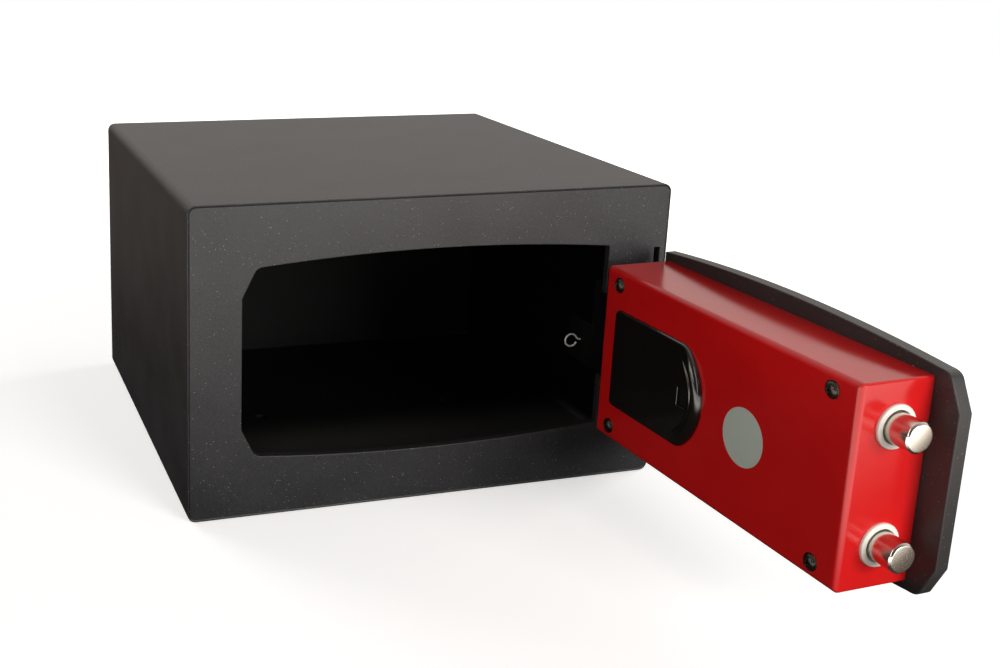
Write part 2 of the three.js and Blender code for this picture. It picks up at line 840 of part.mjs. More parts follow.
// One notch for the plunger with the bolts drawn in, and one with the bolts thrown.
function plungerNotches() {
  const half = plungerRadius + 2 * runGap;
  const tongueBottom = midHeight - tongueHalf;
  return [solenoidX, solenoidX + boltThrow].map((x) => block(
    x - half,
    x + half,
    carrierDepth - cutOverrun,
    carrierDepth + carrierSheet + cutOverrun,
    tongueBottom - cutOverrun,
    tongueBottom + plungerTravel + runGap,
  ));
}

// The crank: a disc with an off-centre pin, on the inner end of the knob's spindle.
function crankDisc() {
  const near = doorThickness + baseSheet + 2 * seatGap + runGap / 2;
  const far = near + crankThickness;
  const angle = THREE.MathUtils.degToRad(knobRestAngle);
  const pinX = knobX + crankArm * Math.sin(angle);
  const pinZ = midHeight + crankArm * Math.cos(angle);
  const disc = rodY(crankRadius, near, far, knobX, midHeight, roundSides);
  const pinFar = carrierDepth + carrierSheet + runGap;
  const pin = rodY(crankPinRadius, far - crankThickness / 2, pinFar, pinX, pinZ);
  const bore = rodY(spindleRadius + seatGap, near - cutOverrun, far + cutOverrun, knobX, midHeight);
  return cut(join(disc, pin), bore);
}

function knobSpindle() {
  const outer = -rosetteThickness - knobClearance - knobBaseThickness - knobGripHeight / 2;
  const inner = doorThickness + baseSheet + crankThickness + 3 * seatGap;
  return rodY(spindleRadius, outer, inner, knobX, midHeight);
}

// The knob: a round base with a cross bar that the fingers turn, bored for the spindle.
function knob() {
  const baseFar = -rosetteThickness - seatGap - knobClearance;
  const baseNear = baseFar - knobBaseThickness;
  const gripNear = baseNear - knobGripHeight;
  const base = rodY(knobRadius, baseNear, baseFar, knobX, midHeight, roundSides);
  const gripLength = 2 * knobRadius - knobGripThickness / 2;
  const grip = roundedRectangle(knobGripThickness, gripLength, knobGripThickness / 3, knobX, midHeight);
  const bar = slabY(grip, gripNear, baseFar - knobBaseThickness / 2, knobGripThickness / 6, 3);
  const boreEnd = -rosetteThickness - knobClearance - knobBaseThickness - knobGripHeight / 2 - seatGap;
  const bore = rodY(spindleRadius + seatGap, boreEnd, baseFar + cutOverrun, knobX, midHeight);
  return cut(join(base, bar), bore);
}

// The flat ring on the door round the knob's spindle.
function knobRosette() {
  const front = -seatGap - rosetteThickness;
  const profile = [
    [spindleRadius + runGap, front],
    [rosetteRadius - rosetteThickness / 2, front],
    [rosetteRadius, front + rosetteThickness / 2],
    [rosetteRadius, -seatGap],
    [spindleRadius + runGap, -seatGap],
    [spindleRadius + runGap, front],
  ];
  return turnedY(profile, knobX, midHeight);
}

// The solenoid's frame and coil as one block, bored from above for its plunger.
function solenoid() {
  const y = carrierDepth + carrierSheet / 2;
  const body = block(
    solenoidX - solenoidWidth / 2,
    solenoidX + solenoidWidth / 2,
    y - solenoidThickness / 2 + carrierSheet,
    y + solenoidThickness / 2 + carrierSheet,
    solenoidTop - solenoidHeight,
    solenoidTop,
  );
  const boreBottom = solenoidTop - plungerInside - seatGap;
  return cut(body, rodZ(plungerRadius + seatGap, boreBottom, solenoidTop + cutOverrun, solenoidX, y));
}

function solenoidPlunger() {
  const top = midHeight - tongueHalf - runGap;
  const bottom = solenoidTop - plungerInside;
  return rodZ(plungerRadius, bottom, top, solenoidX, carrierDepth + carrierSheet / 2);
}

// The fixed body of the override lock, clamped through the door.
function overrideLockBody() {
  const z = midHeight + overrideRise;
  const face = -seatGap - overrideFlange;
  const barrel = rodY(overrideRadius, face + overrideFlange / 2, overrideReach, overrideX, z, roundSides);
  const flange = rodY(overrideFlangeRadius, face, -seatGap, overrideX, z, roundSides);
  const bore = rodY(plugRadius + seatGap, face - cutOverrun, overrideReach + cutOverrun, overrideX, z);
  return cut(join(barrel, flange), bore);
}

// The plug that the override key turns, with its keyway.
function overridePlug() {
  const z = midHeight + overrideRise;
  const face = -seatGap - overrideFlange;
  const plug = rodY(plugRadius, face, overrideReach, overrideX, z);
  const keyway = block(
    overrideX - keywayWidth / 2,
    overrideX + keywayWidth / 2,
    face - cutOverrun,
    face + keywayDepth,
    z - keywayHeight / 2,
    z + keywayHeight / 2,
  );
  return cut(plug, keyway);
}

// The cam on the inner end of the plug.
function overrideCam() {
  const z = midHeight + overrideRise;
  const near = overrideReach + seatGap;
  const half = camWidth / 2;
  return block(overrideX - half, overrideX + camLength, near, near + camThickness, z - half, z + half);
}

// The keypad's housing, with a pocket for each key and one for the display window.
function keypadHousing(keys) {
  const outline = roundedRectangle(keypadWidth, keypadHeight, keypadCornerRadius, keypadX, midHeight);
  const body = slabY(outline, keypadFloor, -seatGap, keypadCornerRadius / 6);
  const pocketFar = keypadFloor + keyThickness - keyProud + keyTravel + keyPocketGap;
  const pockets = keys.map(([x, z]) => slabY(
    roundedRectangle(keyWidth + 2 * keyPocketGap, keyHeight + 2 * keyPocketGap, keyCornerRadius, x, z),
    keypadFloor - cutOverrun,
    pocketFar,
    0,
    2,
  ));
  const glass = slabY(
    roundedRectangle(windowWidth, windowHeight, keyCornerRadius, keypadX, windowZ),
    keypadFloor - cutOverrun,
    keypadFloor + windowThickness,
    0,
    2,
  );
  return cut(body, glass, ...pockets);
}

// The tinted window over the display.
function displayWindow() {
  const outline = roundedRectangle(
    windowWidth - 2 * seatGap,
    windowHeight - 2 * seatGap,
    keyCornerRadius,
    keypadX,
    windowZ,
  );
  return slabY(outline, keypadFloor + seatGap, keypadFloor + windowThickness - seatGap, 0, 2);
}

function keypadKey(x, z) {
  const outline = roundedRectangle(keyWidth, keyHeight, keyCornerRadius, x, z);
  const near = keypadFloor - keyProud;
  return slabY(outline, near, near + keyThickness, keyCornerRadius / 5, 2, 1);
}

// The places of the keys, row by row from the top left as seen from outside.
function keyPlaces() {
  const bottomZ = midHeight - keypadHeight / 2 + keyBottomBorder + keyPitchZ / 2;
  return Array.from({ length: keyRows * keyColumns }, (_, index) => [
    keypadX + (index % keyColumns - (keyColumns - 1) / 2) * keyPitchX,
    bottomZ + (keyRows - 1 - Math.floor(index / keyColumns)) * keyPitchZ,
  ]);
}

function circuitBoard() {
  const left = keypadLeft + boardSideInset;
  const right = left + boardWidthShare * keypadWidth;
  const far = boardDepth + boardThickness;
  const half = coverHalf - boardEdgeInset;
  return block(left, right, boardDepth, far, midHeight - half, midHeight + half);
}

// The open tray that holds the cells, under the battery cover.
function batteryTray() {
  const right = coverHingeEnd - batteryCoverInset - batteryApertureMargin;
  const left = batteryCoverEnd + batteryApertureMargin;
  const half = cellCount * cellPitch / 2 + seatGap + trayWall;
  const far = coverInside - seatGap;
  const body = block(left, right, trayFloorDepth, far, midHeight - half, midHeight + half);
  const hollow = block(
    left + trayWall,
    right - trayWall,
    trayFloorDepth + trayWall,
    far + cutOverrun,
    midHeight - half + trayWall,
    midHeight + half - trayWall,
  );
  return cut(body, hollow);
}

// A round cell lying along X, with the small cap of its positive end.
function cell(index) {
  const right = coverHingeEnd - cellFromHingeEnd;
  const left = right - cellLength;
  const z = midHeight + (index - (cellCount - 1) / 2) * cellPitch;
  const capRadius = cellCapShare * cellRadius;
  const profile = [
    [0, left - cellCapLength],
    [capRadius, left - cellCapLength],
    [capRadius, left],
    [cellRadius, left],
    [cellRadius, right],
    [0, right],
  ];
  return turnedX(profile, cellDepth, z, smallSides);
}

// The battery cover, with a sunk finger latch near its bowed end.
function batteryCover() {
  const near = coverInnerFace + seatGap;
  const plate = slabY(batteryOutline(0), near, batteryCoverFace, batteryCoverBevel, 8);
  const right = batteryCoverEnd + latchFromBowEnd;
  const pocket = block(
    right - latchWidth,
    right,
    batteryCoverFace - latchSink,
    batteryCoverFace + cutOverrun,
    midHeight - latchHeight / 2,
    midHeight + latchHeight / 2,
  );
  return cut(plate, pocket);
}

// The bare round label stuck on the cover.
function roundLabel() {
  const near = coverInnerFace + seatGap;
  const x = coverHingeEnd - labelFromHingeEnd;
  return rodY(labelRadius, near, near + labelThickness, x, midHeight - labelDrop, roundSides);
}

function material(color, roughness, metalness) {
  return new THREE.MeshStandardMaterial({ color, roughness, metalness });
}

const finishes = {
  charcoal: () => material(0x3c3c3e, 0.55, 0.3),
  redPaint: () => material(0xb01018, 0.22, 0),
  blackPlastic: () => material(0x14110f, 0.45, 0),
  nickel: () => material(0xb9b4aa, 0.28, 1),
  zinc: () => material(0x8f9092, 0.4, 1),
  blackSteel: () => material(0x1d1c1c, 0.4, 0.6),
  nylon: () => material(0xe6e2da, 0.5, 0),
  label: () => material(0x8c9288, 0.5, 0),
  cellWrap: () => material(0x2a3a55, 0.35, 0.2),
  board: () => material(0x1f4a2c, 0.5, 0),
  glass: () => material(0x0c0e12, 0.1, 0),
  keyGrey: () => material(0xc9c9c4, 0.5, 0),
};

function piece(name, solid, finish) {
  const mesh = new THREE.Mesh(geometryFrom(solid), finishes[finish]());
  mesh.name = name;
  return mesh;
}

function cabinetPieces() {
  return [
    piece('body_shell', bodyShell(), 'charcoal'),
    piece('back_panel', backPanel(), 'charcoal'),
    piece('front_frame', frontFrame(), 'charcoal'),
    piece('hinge_bracket', hingeBracket(), 'charcoal'),
    piece('bracket_tab', bracketTab(), 'charcoal'),
    piece('hinge_pin', hingePin(), 'zinc'),
    piece('split_pin', splitPin(), 'zinc'),
    piece('bolt_keeper', boltKeeper(), 'charcoal'),
  ];
}

function screwPieces() {
  const places = screwPlacesX.flatMap((x) => [1, -1].map((side) => [x, midHeight + side * screwRise]));
  return places.flatMap(([x, z], index) => [
    piece(`cover_screw_${index + 1}`, coverScrew(x, z), 'blackSteel'),
    piece(`cover_post_${index + 1}`, coverPost(x, z), 'zinc'),
  ]);
}

function boltPieces() {
  const sides = [['upper', 1], ['lower', -1]];
  return sides.flatMap(([name, side]) => {
    const z = midHeight + side * boltRise;
    return [
      piece(`${name}_bolt`, bolt(z), 'nickel'),
      piece(`${name}_bolt_bushing`, boltBushing(z), 'nylon'),
      piece(`${name}_guide_post`, guidePost(midHeight + side * guidePostSpacing / 2), 'zinc'),
    ];
  });
}

function batteryPieces() {
  const cells = Array.from({ length: cellCount }, (_, index) => index);
  return [
    piece('battery_tray', batteryTray(), 'blackPlastic'),
    ...cells.map((index) => piece(`battery_cell_${index + 1}`, cell(index), 'cellWrap')),
    piece('battery_cover', batteryCover(), 'blackPlastic'),
  ];
}

function keypadPieces() {
  const keys = keyPlaces();
  return [
    piece('keypad_housing', keypadHousing(keys), 'blackPlastic'),
    piece('display_window', displayWindow(), 'glass'),
    ...keys.map(([x, z], index) => piece(`key_${index + 1}`, keypadKey(x, z), 'keyGrey')),
    piece('circuit_board', circuitBoard(), 'board'),
  ];
}

function lockPieces() {
  return [
    piece('lock_base', lockBase(), 'zinc'),
    piece('bolt_carrier', boltCarrier(), 'zinc'),
    piece('crank_disc', crankDisc(), 'zinc'),
    piece('knob_spindle', knobSpindle(), 'zinc'),
    piece('knob', knob(), 'blackPlastic'),
    piece('knob_rosette', knobRosette(), 'nickel'),
    piece('solenoid', solenoid(), 'blackSteel'),
    piece('solenoid_plunger', solenoidPlunger(), 'nickel'),
    piece('override_lock_body', overrideLockBody(), 'nickel'),
    piece('override_lock_plug', overridePlug(), 'nickel'),
    piece('override_lock_cam', overrideCam(), 'zinc'),
  ];
}

function doorPieces() {
  return [
    piece('door_plate', doorPlate(), 'charcoal'),
    piece('hinge_leaf', hingeLeaf(), 'charcoal'),
    piece('lock_cover', lockCover(), 'redPaint'),
    ...screwPieces(),
    ...boltPieces(),
    ...lockPieces(),
    ...keypadPieces(),
    ...batteryPieces(),
    piece('round_label', roundLabel(), 'label'),
  ];
}

// The door's pieces hang in a group that turns about the hinge pin.
function swungDoor() {
  const shut = new THREE.Group();
  shut.position.set(-pivotX, -pivotDepth, 0);
  shut.add(...doorPieces());
  const swing = new THREE.Group();
  swing.position.set(pivotX, pivotDepth, 0);
  swing.rotation.z = THREE.MathUtils.degToRad(doorOpenAngle);
  swing.add(shut);
  return swing;
}

const safe = new THREE.Group();
safe.position.y = -bodyDepth / 2;
safe.add(...cabinetPieces(), swungDoor());

export default safe;
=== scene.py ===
import math
import bmesh
import bpy
import numpy as np
from mathutils import Matrix
from mathutils.geometry import tessellate_polygon


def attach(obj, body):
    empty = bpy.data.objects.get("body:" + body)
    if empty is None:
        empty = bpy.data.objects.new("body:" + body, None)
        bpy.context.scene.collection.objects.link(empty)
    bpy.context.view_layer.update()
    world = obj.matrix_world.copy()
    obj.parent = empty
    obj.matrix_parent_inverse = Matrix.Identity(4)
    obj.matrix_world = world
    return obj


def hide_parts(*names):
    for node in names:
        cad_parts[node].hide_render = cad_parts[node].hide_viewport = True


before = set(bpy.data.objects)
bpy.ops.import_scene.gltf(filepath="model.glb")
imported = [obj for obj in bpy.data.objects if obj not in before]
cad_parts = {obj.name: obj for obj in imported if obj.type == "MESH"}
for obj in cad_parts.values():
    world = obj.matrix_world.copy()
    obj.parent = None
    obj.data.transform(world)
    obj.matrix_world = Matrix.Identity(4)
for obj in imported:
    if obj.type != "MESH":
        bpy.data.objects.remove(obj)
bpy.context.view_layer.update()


# Studio: a pale floor that runs up into a white backdrop, a large soft light in front with a narrow one
# beside it, a weak one at the left, one at the right and one behind. The camera stands to the left.
bpy.context.scene.view_settings.view_transform = "Standard"


def linear(*srgb):
    """Linear colour with alpha from 0 to 255 values: the cube-like curve ((c + 0.055) / 1.055) ** 2.4."""
    c = np.array(srgb, float) / 255
    c = np.where(c <= 0.04045, c / 12.92, ((c + 0.055) / 1.055) ** 2.4)
    return (*[float(x) for x in c], 1.0)


def adder(tree):
    """A function that adds one node to a shader tree: its kind, its inputs by name or number, each a
    plain value or another node's output, and its settings."""
    def add(kind, inputs=(), **settings):
        node = tree.nodes.new("ShaderNode" + kind)
        for setting, value in settings.items():
            setattr(node, setting, value)
        for name, given in dict(inputs).items():
            if isinstance(given, bpy.types.NodeSocket):
                tree.links.new(given, node.inputs[name])
            else:
                node.inputs[name].default_value = given
        return node

    return add


def new_material(name):
    """An empty material and the function that adds its nodes."""
    material = bpy.data.materials.new(name)
    material.use_nodes = True
    material.node_tree.nodes.clear()
    return material, adder(material.node_tree)


def ranged(add, source, low, high, at_low, at_high, **settings):
    """A value that runs from at_low, where the source is low, straight to at_high, where it is high."""
    inputs = {"Value": source, "From Min": low, "From Max": high, "To Min": at_low, "To Max": at_high}
    return add("MapRange", inputs, **settings).outputs[0]


def graded(add, *limits):
    """The same, but with a smooth start and end."""
    return ranged(add, *limits, interpolation_type="SMOOTHSTEP")


def product(add, first, second):
    """Two values multiplied."""
    return add("Math", {0: first, 1: second}, operation="MULTIPLY").outputs[0]


def either(add, share, first, second):
    """The first shader where share is 0 and the second where it is 1."""
    return add("MixShader", {"Fac": share, 1: first.outputs[0], 2: second.outputs[0]})


def studio_floor():
    """A flat square of 6 m. To the camera it is white and keeps the safe's shadow, beyond 1 m it is plain
    white, and right under the safe, where only the anchor holes show it, it is a dark table. In glossy
    surfaces it is that table near the safe and a white card in front of it."""
    half, drop = 3.0, 0.0004
    mesh = bpy.data.meshes.new("studio_floor")
    corners = [(half * x, half * y, -drop) for x, y in ((-1, -1), (1, -1), (1, 1), (-1, 1))]
    mesh.from_pydata(corners, [], [(0, 1, 2, 3)])
    floor = bpy.data.objects.new("studio_floor", mesh)
    bpy.context.scene.collection.objects.link(floor)
    material, add = new_material("pale_floor")
    place = add("TexCoord").outputs["Object"]
    path = add("LightPath").outputs
    away = add("VectorMath", {0: place}, operation="LENGTH").outputs["Value"]
    ahead = add("VectorMath", {0: place, 1: (-0.4, -0.92, 0.0)}, operation="DOT_PRODUCT").outputs["Value"]
    paper = add("BsdfDiffuse", {"Color": (0.9, 0.9, 0.9, 1)})
    lift = add("Emission", {"Strength": graded(add, away, 0.42, 1.05, 0.5, 1.0)})
    seen = add("AddShader", {0: paper.outputs[0], 1: lift.outputs[0]})
    table = add("BsdfDiffuse", {"Color": linear(62, 56, 51)})
    room = add("Emission", {"Color": (1.0, 0.79, 0.63, 1), "Strength": 0.165})
    card = add("Emission", {"Color": (1.0, 0.94, 0.87, 1), "Strength": 3.1})
    band = product(add, graded(add, ahead, 0.4, 0.59, 0.0, 1.0), graded(add, ahead, 0.61, 0.9, 1.0, 0.7))
    far_off = product(add, path["Is Glossy Ray"], graded(add, away, 0.3, 0.8, 0.0, 1.0))
    laid = either(add, product(add, path["Is Glossy Ray"], band), either(add, far_off, table, room), card)
    open_floor = product(add, path["Is Camera Ray"], graded(add, away, 0.1, 0.16, 0.0, 1.0))
    add("OutputMaterial", {"Surface": either(add, open_floor, laid, seen).outputs[0]})
    mesh.materials.append(material)


def studio_world():
    """White behind the safe for the camera and for clear surfaces. Glossy surfaces see a warm white that
    fades towards the front and the horizon, and matt ones a soft light that is stronger from the left."""
    world = bpy.data.worlds.new("studio")
    bpy.context.scene.world = world
    world.use_nodes = True
    world.node_tree.nodes.clear()
    add = adder(world.node_tree)
    x, y, z = add("SeparateXYZ", {0: add("TexCoord").outputs["Generated"]}).outputs
    fill = product(add, graded(add, z, 0.1, 0.8, 0.5, 0.1), graded(add, x, -0.8, 0.4, 1.35, 0.6))
    upward = product(add, graded(add, y, -0.95, -0.1, 0.12, 0.96), graded(add, z, 0.08, 0.25, 0.4, 1.0))
    glow = product(add, upward, graded(add, x, -0.8, -0.15, 0.14, 1.0))
    surface = add("Background", {"Color": (0.97, 0.96, 0.95, 1), "Strength": fill})
    warm = add("Background", {"Color": (1.0, 0.93, 0.86, 1), "Strength": glow})
    white = add("Background", {"Color": (1, 1, 1, 1), "Strength": 1.0})
    path = add("LightPath").outputs
    for ray, shade in (("Is Glossy Ray", warm), ("Is Transmission Ray", white), ("Is Camera Ray", white)):
        surface = either(add, path[ray], surface, shade)
    add("OutputWorld", {"Surface": surface.outputs[0]})


def softbox(name, place, aim, width, height, watts, colour):
    """An area light at place that faces aim, both in metres."""
    data = bpy.data.lights.new(name, "AREA")
    data.shape = "RECTANGLE"
    data.size, data.size_y = width, height
    data.energy = watts
    data.color = colour
    light = bpy.data.objects.new(name, data)
    bpy.context.scene.collection.objects.link(light)
    light.location = place
    away = np.array(place, float) - np.array(aim, float)
    away /= np.linalg.norm(away)
    side = np.cross((0, 0, 1.0), away)
    side /= np.linalg.norm(side)
    turn = np.eye(4)
    turn[:3] = np.stack([side, np.cross(away, side), away, place], 1)
    light.matrix_world = Matrix(turn.tolist())
    return light


def photographers_camera():
    """The camera that was fitted to the body's edges: tilted down 14.5 degrees, turned 17.2 to the right."""
    data = bpy.data.cameras.new("camera")
    data.lens = 46.842
    data.sensor_width = 36
    data.shift_x, data.shift_y = 0.19, -0.09
    camera = bpy.data.objects.new("camera", data)
    bpy.context.scene.collection.objects.link(camera)
    camera.location = (-0.3424, -0.9556, 0.4049)
    camera.rotation_euler = [math.radians(a) for a in (75.5075, -1.1961, -17.1613)]
    bpy.context.scene.camera = camera


studio_floor()
studio_world()
softbox("front_light", (0.72, -2.25, 0.62), (0.05, -0.1, 0.1), 1.0, 0.9, 43, (1.0, 0.97, 0.93))
softbox("near_light", (-0.95, -1.95, 0.95), (0.05, -0.1, 0.1), 0.3, 1.7, 4.5, (1.0, 0.96, 0.92))
softbox("left_light", (-2.3, -0.3, 0.7), (0.0, -0.1, 0.1), 1.4, 0.9, 10, (1.0, 0.88, 0.76))
softbox("right_light", (2.3, 0.35, 0.6), (0.05, -0.1, 0.1), 1.2, 0.9, 34, (1.0, 0.98, 0.95))
back_light = softbox("back_light", (-1.3, 1.9, 0.7), (0.05, 0.0, 0.1), 1.2, 0.9, 30, (1.0, 0.97, 0.94))
back_light.visible_glossy = False
photographers_camera()


# Steel body: one 3 mm sheet wrapped round the top, sides and base, with a 6 mm front plate welded in and
# ground flush but for a hairline groove. Charcoal powder coat is sprayed and baked over the outside, and
# the inside has only a thin black primer. Two anchor holes go through the base.
BODY_WIDTH, BODY_HEIGHT, BODY_DEPTH = 352.0, 220.0, 330.0
MID_HEIGHT, MID_DEPTH = BODY_HEIGHT / 2, BODY_DEPTH / 2
DOORWAY_LEFT, DOORWAY_RIGHT, DOORWAY_HALF = -139.0, 129.8, 66.7
ANCHOR_PLACES, ANCHOR_RADIUS = (-80.0, 80.0), 5.0


def powder_group():
    """Node group of sprayed powder: a noise height for its orange peel, a mask of bright metal flecks
    scattered one to a cell, and a cloudiness value that varies over a few centimetres."""
    group = bpy.data.node_groups.new("sprayed_powder", "ShaderNodeTree")
    for name, way, kind in (
            ("Vector", "INPUT", "Vector"), ("Grain Size", "INPUT", "Float"), ("Fleck Size", "INPUT", "Float"),
            ("Height", "OUTPUT", "Float"), ("Flecks", "OUTPUT", "Float"), ("Cloud", "OUTPUT", "Float")):
        group.interface.new_socket(name, in_out=way, socket_type="NodeSocket" + kind)
    given = group.nodes.new("NodeGroupInput").outputs
    result = group.nodes.new("NodeGroupOutput").inputs
    add = adder(group)

    def to_the_metre(size):
        return add("Math", {0: 1.0, 1: given[size]}, operation="DIVIDE").outputs[0]

    place = given["Vector"]
    grain = add("TexNoise", {
        "Vector": place, "Scale": to_the_metre("Grain Size"), "Detail": 3.0, "Roughness": 0.65})
    cell = add("TexVoronoi", {"Vector": place, "Scale": to_the_metre("Fleck Size")}).outputs
    near = ranged(add, cell["Distance"], 0.05, 0.13, 1.0, 0.0)
    lot = add("TexWhiteNoise", {"Vector": cell["Color"]}).outputs["Value"]
    some = ranged(add, lot, 0.5, 1.0, 0.0, 1.0)
    cloud = add("TexNoise", {"Vector": place, "Scale": 22.0, "Detail": 2.0})
    group.links.new(grain.outputs["Fac"], result["Height"])
    group.links.new(product(add, near, some), result["Flecks"])
    group.links.new(cloud.outputs["Fac"], result["Cloud"])
    return group


SPRAYED_POWDER = powder_group()


def blended(add, share, first, second):
    """A colour that runs from the first to the second."""
    return add("Mix", {"Factor": share, "A": first, "B": second}, data_type="RGBA").outputs["Result"]


def bumped(add, height, strength, distance):
    """The surface's normal under a fine relief."""
    return add("Bump", {"Height": height, "Strength": strength, "Distance": distance}).outputs["Normal"]


def noise(add, scale, detail=2.0):
    """A cloudy pattern on Object coordinates, so many clouds to the metre."""
    place = add("TexCoord").outputs["Object"]
    return add("TexNoise", {"Vector": place, "Scale": scale, "Detail": detail}).outputs["Fac"]


def finish(add, inputs):
    """The surface shader with its inputs, led to the material's output."""
    add("OutputMaterial", {"Surface": add("BsdfPrincipled", inputs).outputs[0]})


def powder_material(name, dark, light, rough, fleck_colour):
    """Satin powder coat: the colour runs from dark to light with the cloud and grain of the spray group."""
    material, add = new_material(name)
    sizes = {"Vector": add("TexCoord").outputs["Object"], "Grain Size": 0.0009, "Fleck Size": 0.0019}
    spray = add("Group", sizes, node_tree=SPRAYED_POWDER).outputs
    mottle = add("Math", {0: spray["Height"], 1: 0.75, 2: product(add, spray["Cloud"], 0.25)},
                 operation="MULTIPLY_ADD").outputs[0]
    tone = blended(add, ranged(add, mottle, 0.36, 0.64, 0.0, 1.0), dark, light)
    finish(add, {
        "Base Color": blended(add, spray["Flecks"], tone, fleck_colour),
        "Roughness": ranged(add, spray["Height"], 0.0, 1.0, rough - 0.05, rough + 0.07),
        "Normal": bumped(add, spray["Height"], 0.12, 0.0004),
        "IOR": 1.48,
        "Specular IOR Level": 0.45,
    })
    return material


CHARCOAL_COAT = powder_material(
    "charcoal_powder_coat", linear(24, 24, 26), linear(50, 50, 53), 0.45, linear(222, 222, 218))


def primer_and_painted_light_material():
    """Thin matt black primer, streaked a little by the noise where it ran thin. The front of the
    floor is painted a lighter grey that fades inwards and upwards: painted light, standing in for
    light that falls in through the doorway. The same material is also used as painted shade in the
    keyway and in the battery cover's recess."""
    material, add = new_material("matt_black_primer_and_painted_light")
    streak = noise(add, 60.0, 5.0)
    apart = add("SeparateXYZ", {0: add("TexCoord").outputs["Object"]}).outputs
    # Painted light: a mask for a grey band on the inside floor near the doorway, where light falls in.
    painted_floor_light = product(add, graded(add, apart["Y"], -0.08, -0.005, 1.0, 0.0),
                     graded(add, apart["Z"], 0.004, 0.012, 1.0, 0.0))
    tone = blended(add, streak, linear(10, 10, 11), linear(19, 18, 18))
    finish(add, {
        # The band's grey, linear(74, 73, 72), is painted light on the floor.
        "Base Color": blended(add, painted_floor_light, tone, linear(74, 73, 72)),
        "Roughness": ranged(add, streak, 0.0, 1.0, 0.55, 0.75),
        "Specular IOR Level": 0.18,
    })
    return material


PRIMER_AND_PAINTED_LIGHT = primer_and_painted_light_material()


def paint(piece, material, where):
    """Gives a second material to the faces whose middles, an (n, 3) array in metres, pass a test."""
    piece.data.materials.append(material)
    middles = np.empty(len(piece.data.polygons) * 3)
    piece.data.polygons.foreach_get("center", middles)
    chosen = where(middles.reshape(-1, 3))
    index = np.empty(len(chosen), np.int32)
    piece.data.polygons.foreach_get("material_index", index)
    index[chosen] = len(piece.data.materials) - 1
    piece.data.polygons.foreach_set("material_index", index)


def safe_frame(points):
    """Millimetres with y from the front face to metres with y from the middle of the depth."""
    return (np.asarray(points, float) - [0, MID_DEPTH, 0]) / 1000


def net(points):
    """Quads over a grid of points (rows, columns, 3) that closes round, its last column joined to its
    first. Returns the points as a list and the faces by index."""
    points = np.asarray(points, float)
    rows, columns = points.shape[:2]
    index = np.arange(rows * columns).reshape(rows, columns)
    index = np.concatenate([index, index[:, :1]], 1)
    faces = np.stack([index[:-1, :-1], index[:-1, 1:], index[1:, 1:], index[1:, :-1]], -1)
    return points.reshape(-1, 3), faces.reshape(-1, 4).tolist()


def flat(loops, lift):
    """Triangles over a flat outline, loops[0], with the holes loops[1:]; lift turns (n, 2) into (n, 3)."""
    triangles = tessellate_polygon([[(x, y, 0.0) for x, y in loop] for loop in loops])
    return lift(np.concatenate(loops)), [list(t) for t in triangles]


def ring_at(loop, y):
    """An outline in x and z as a ring of points at depth y."""
    return np.insert(np.asarray(loop, float), 1, y, axis=1)


def level_at(loop, z):
    """An outline in x and y as a ring of points at height z."""
    return np.insert(np.asarray(loop, float), 2, z, axis=1)


def face_at(y, *loops):
    """A flat face at depth y over an outline and its holes, each in x and z or a ring of points."""
    return flat([np.asarray(loop)[:, [0, -1]] for loop in loops], lambda p: ring_at(p, y))


def make_piece(name, parts, material, body, nodes, place=safe_frame, sharp=38):
    """One closed piece from parts, each a list of points and faces: joined, welded where they meet,
    turned outwards, smooth but for edges over the sharp angle, with flat faces kept flat by weights."""
    points, faces, start = [], [], 0
    for part_points, part_faces in parts:
        points.append(np.asarray(part_points, float))
        faces += [[i + start for i in face] for face in part_faces]
        start += len(part_points)
    mesh = bpy.data.meshes.new(name)
    mesh.from_pydata(place(np.concatenate(points)).tolist(), [], faces)
    build = bmesh.new()
    build.from_mesh(mesh)
    bmesh.ops.remove_doubles(build, verts=build.verts, dist=0.000004)
    bmesh.ops.dissolve_degenerate(build, edges=build.edges, dist=0.000002)
    bmesh.ops.recalc_face_normals(build, faces=build.faces)
    build.to_mesh(mesh)
    build.free()
    mesh.shade_smooth()
    mesh.set_sharp_from_angle(angle=math.radians(sharp))
    mesh.materials.append(material)
    made = bpy.data.objects.new(name, mesh)
    bpy.context.scene.collection.objects.link(made)
    weights = made.modifiers.new("flat_faces", "WEIGHTED_NORMAL")
    weights.keep_sharp = True
    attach(made, body)
    if nodes:
        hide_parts(*nodes)
    return made


def arc(cx, cz, radius, start, end, count):
    """Points of a circle's arc: (cx + r cos a, cz + r sin a) for a from start to end, in degrees."""
    a = np.radians(np.linspace(start, end, count))
    return np.stack([cx + radius * np.cos(a), cz + radius * np.sin(a)], 1)


def circle(cx, cz, radius, count=48):
    """The arc all the way round, without its first point again."""
    return arc(cx, cz, radius, 0, 360 - 360 / count, count)


def box_outline(x0, x1, z0, z1, radius, count=10):
    """A rectangle's outline, anticlockwise from the right side's foot, with its corners rounded."""
    return np.concatenate([
        arc(x1 - radius, z0 + radius, radius, -90, 0, count),
        arc(x1 - radius, z1 - radius, radius, 0, 90, count),
        arc(x0 + radius, z1 - radius, radius, 90, 180, count),
        arc(x0 + radius, z0 + radius, radius, 180, 270, count),
    ])


def inward(loop, distance):
    """The outline moved inwards by distance: each point goes along the mean normal of its two sides,
    stretched by 1 / cos(half the turn), so that straight sides stay parallel."""
    loop = np.asarray(loop, float)
    side = np.roll(loop, -1, 0) - loop
    side /= np.maximum(np.linalg.norm(side, axis=1, keepdims=True), 1e-9)
    normal = np.stack([-side[:, 1], side[:, 0]], 1)
    mean = normal + np.roll(normal, 1, 0)
    size = np.linalg.norm(mean, axis=1, keepdims=True)
    mean /= size
    return loop + mean * distance / np.maximum(size / 2, 0.35)


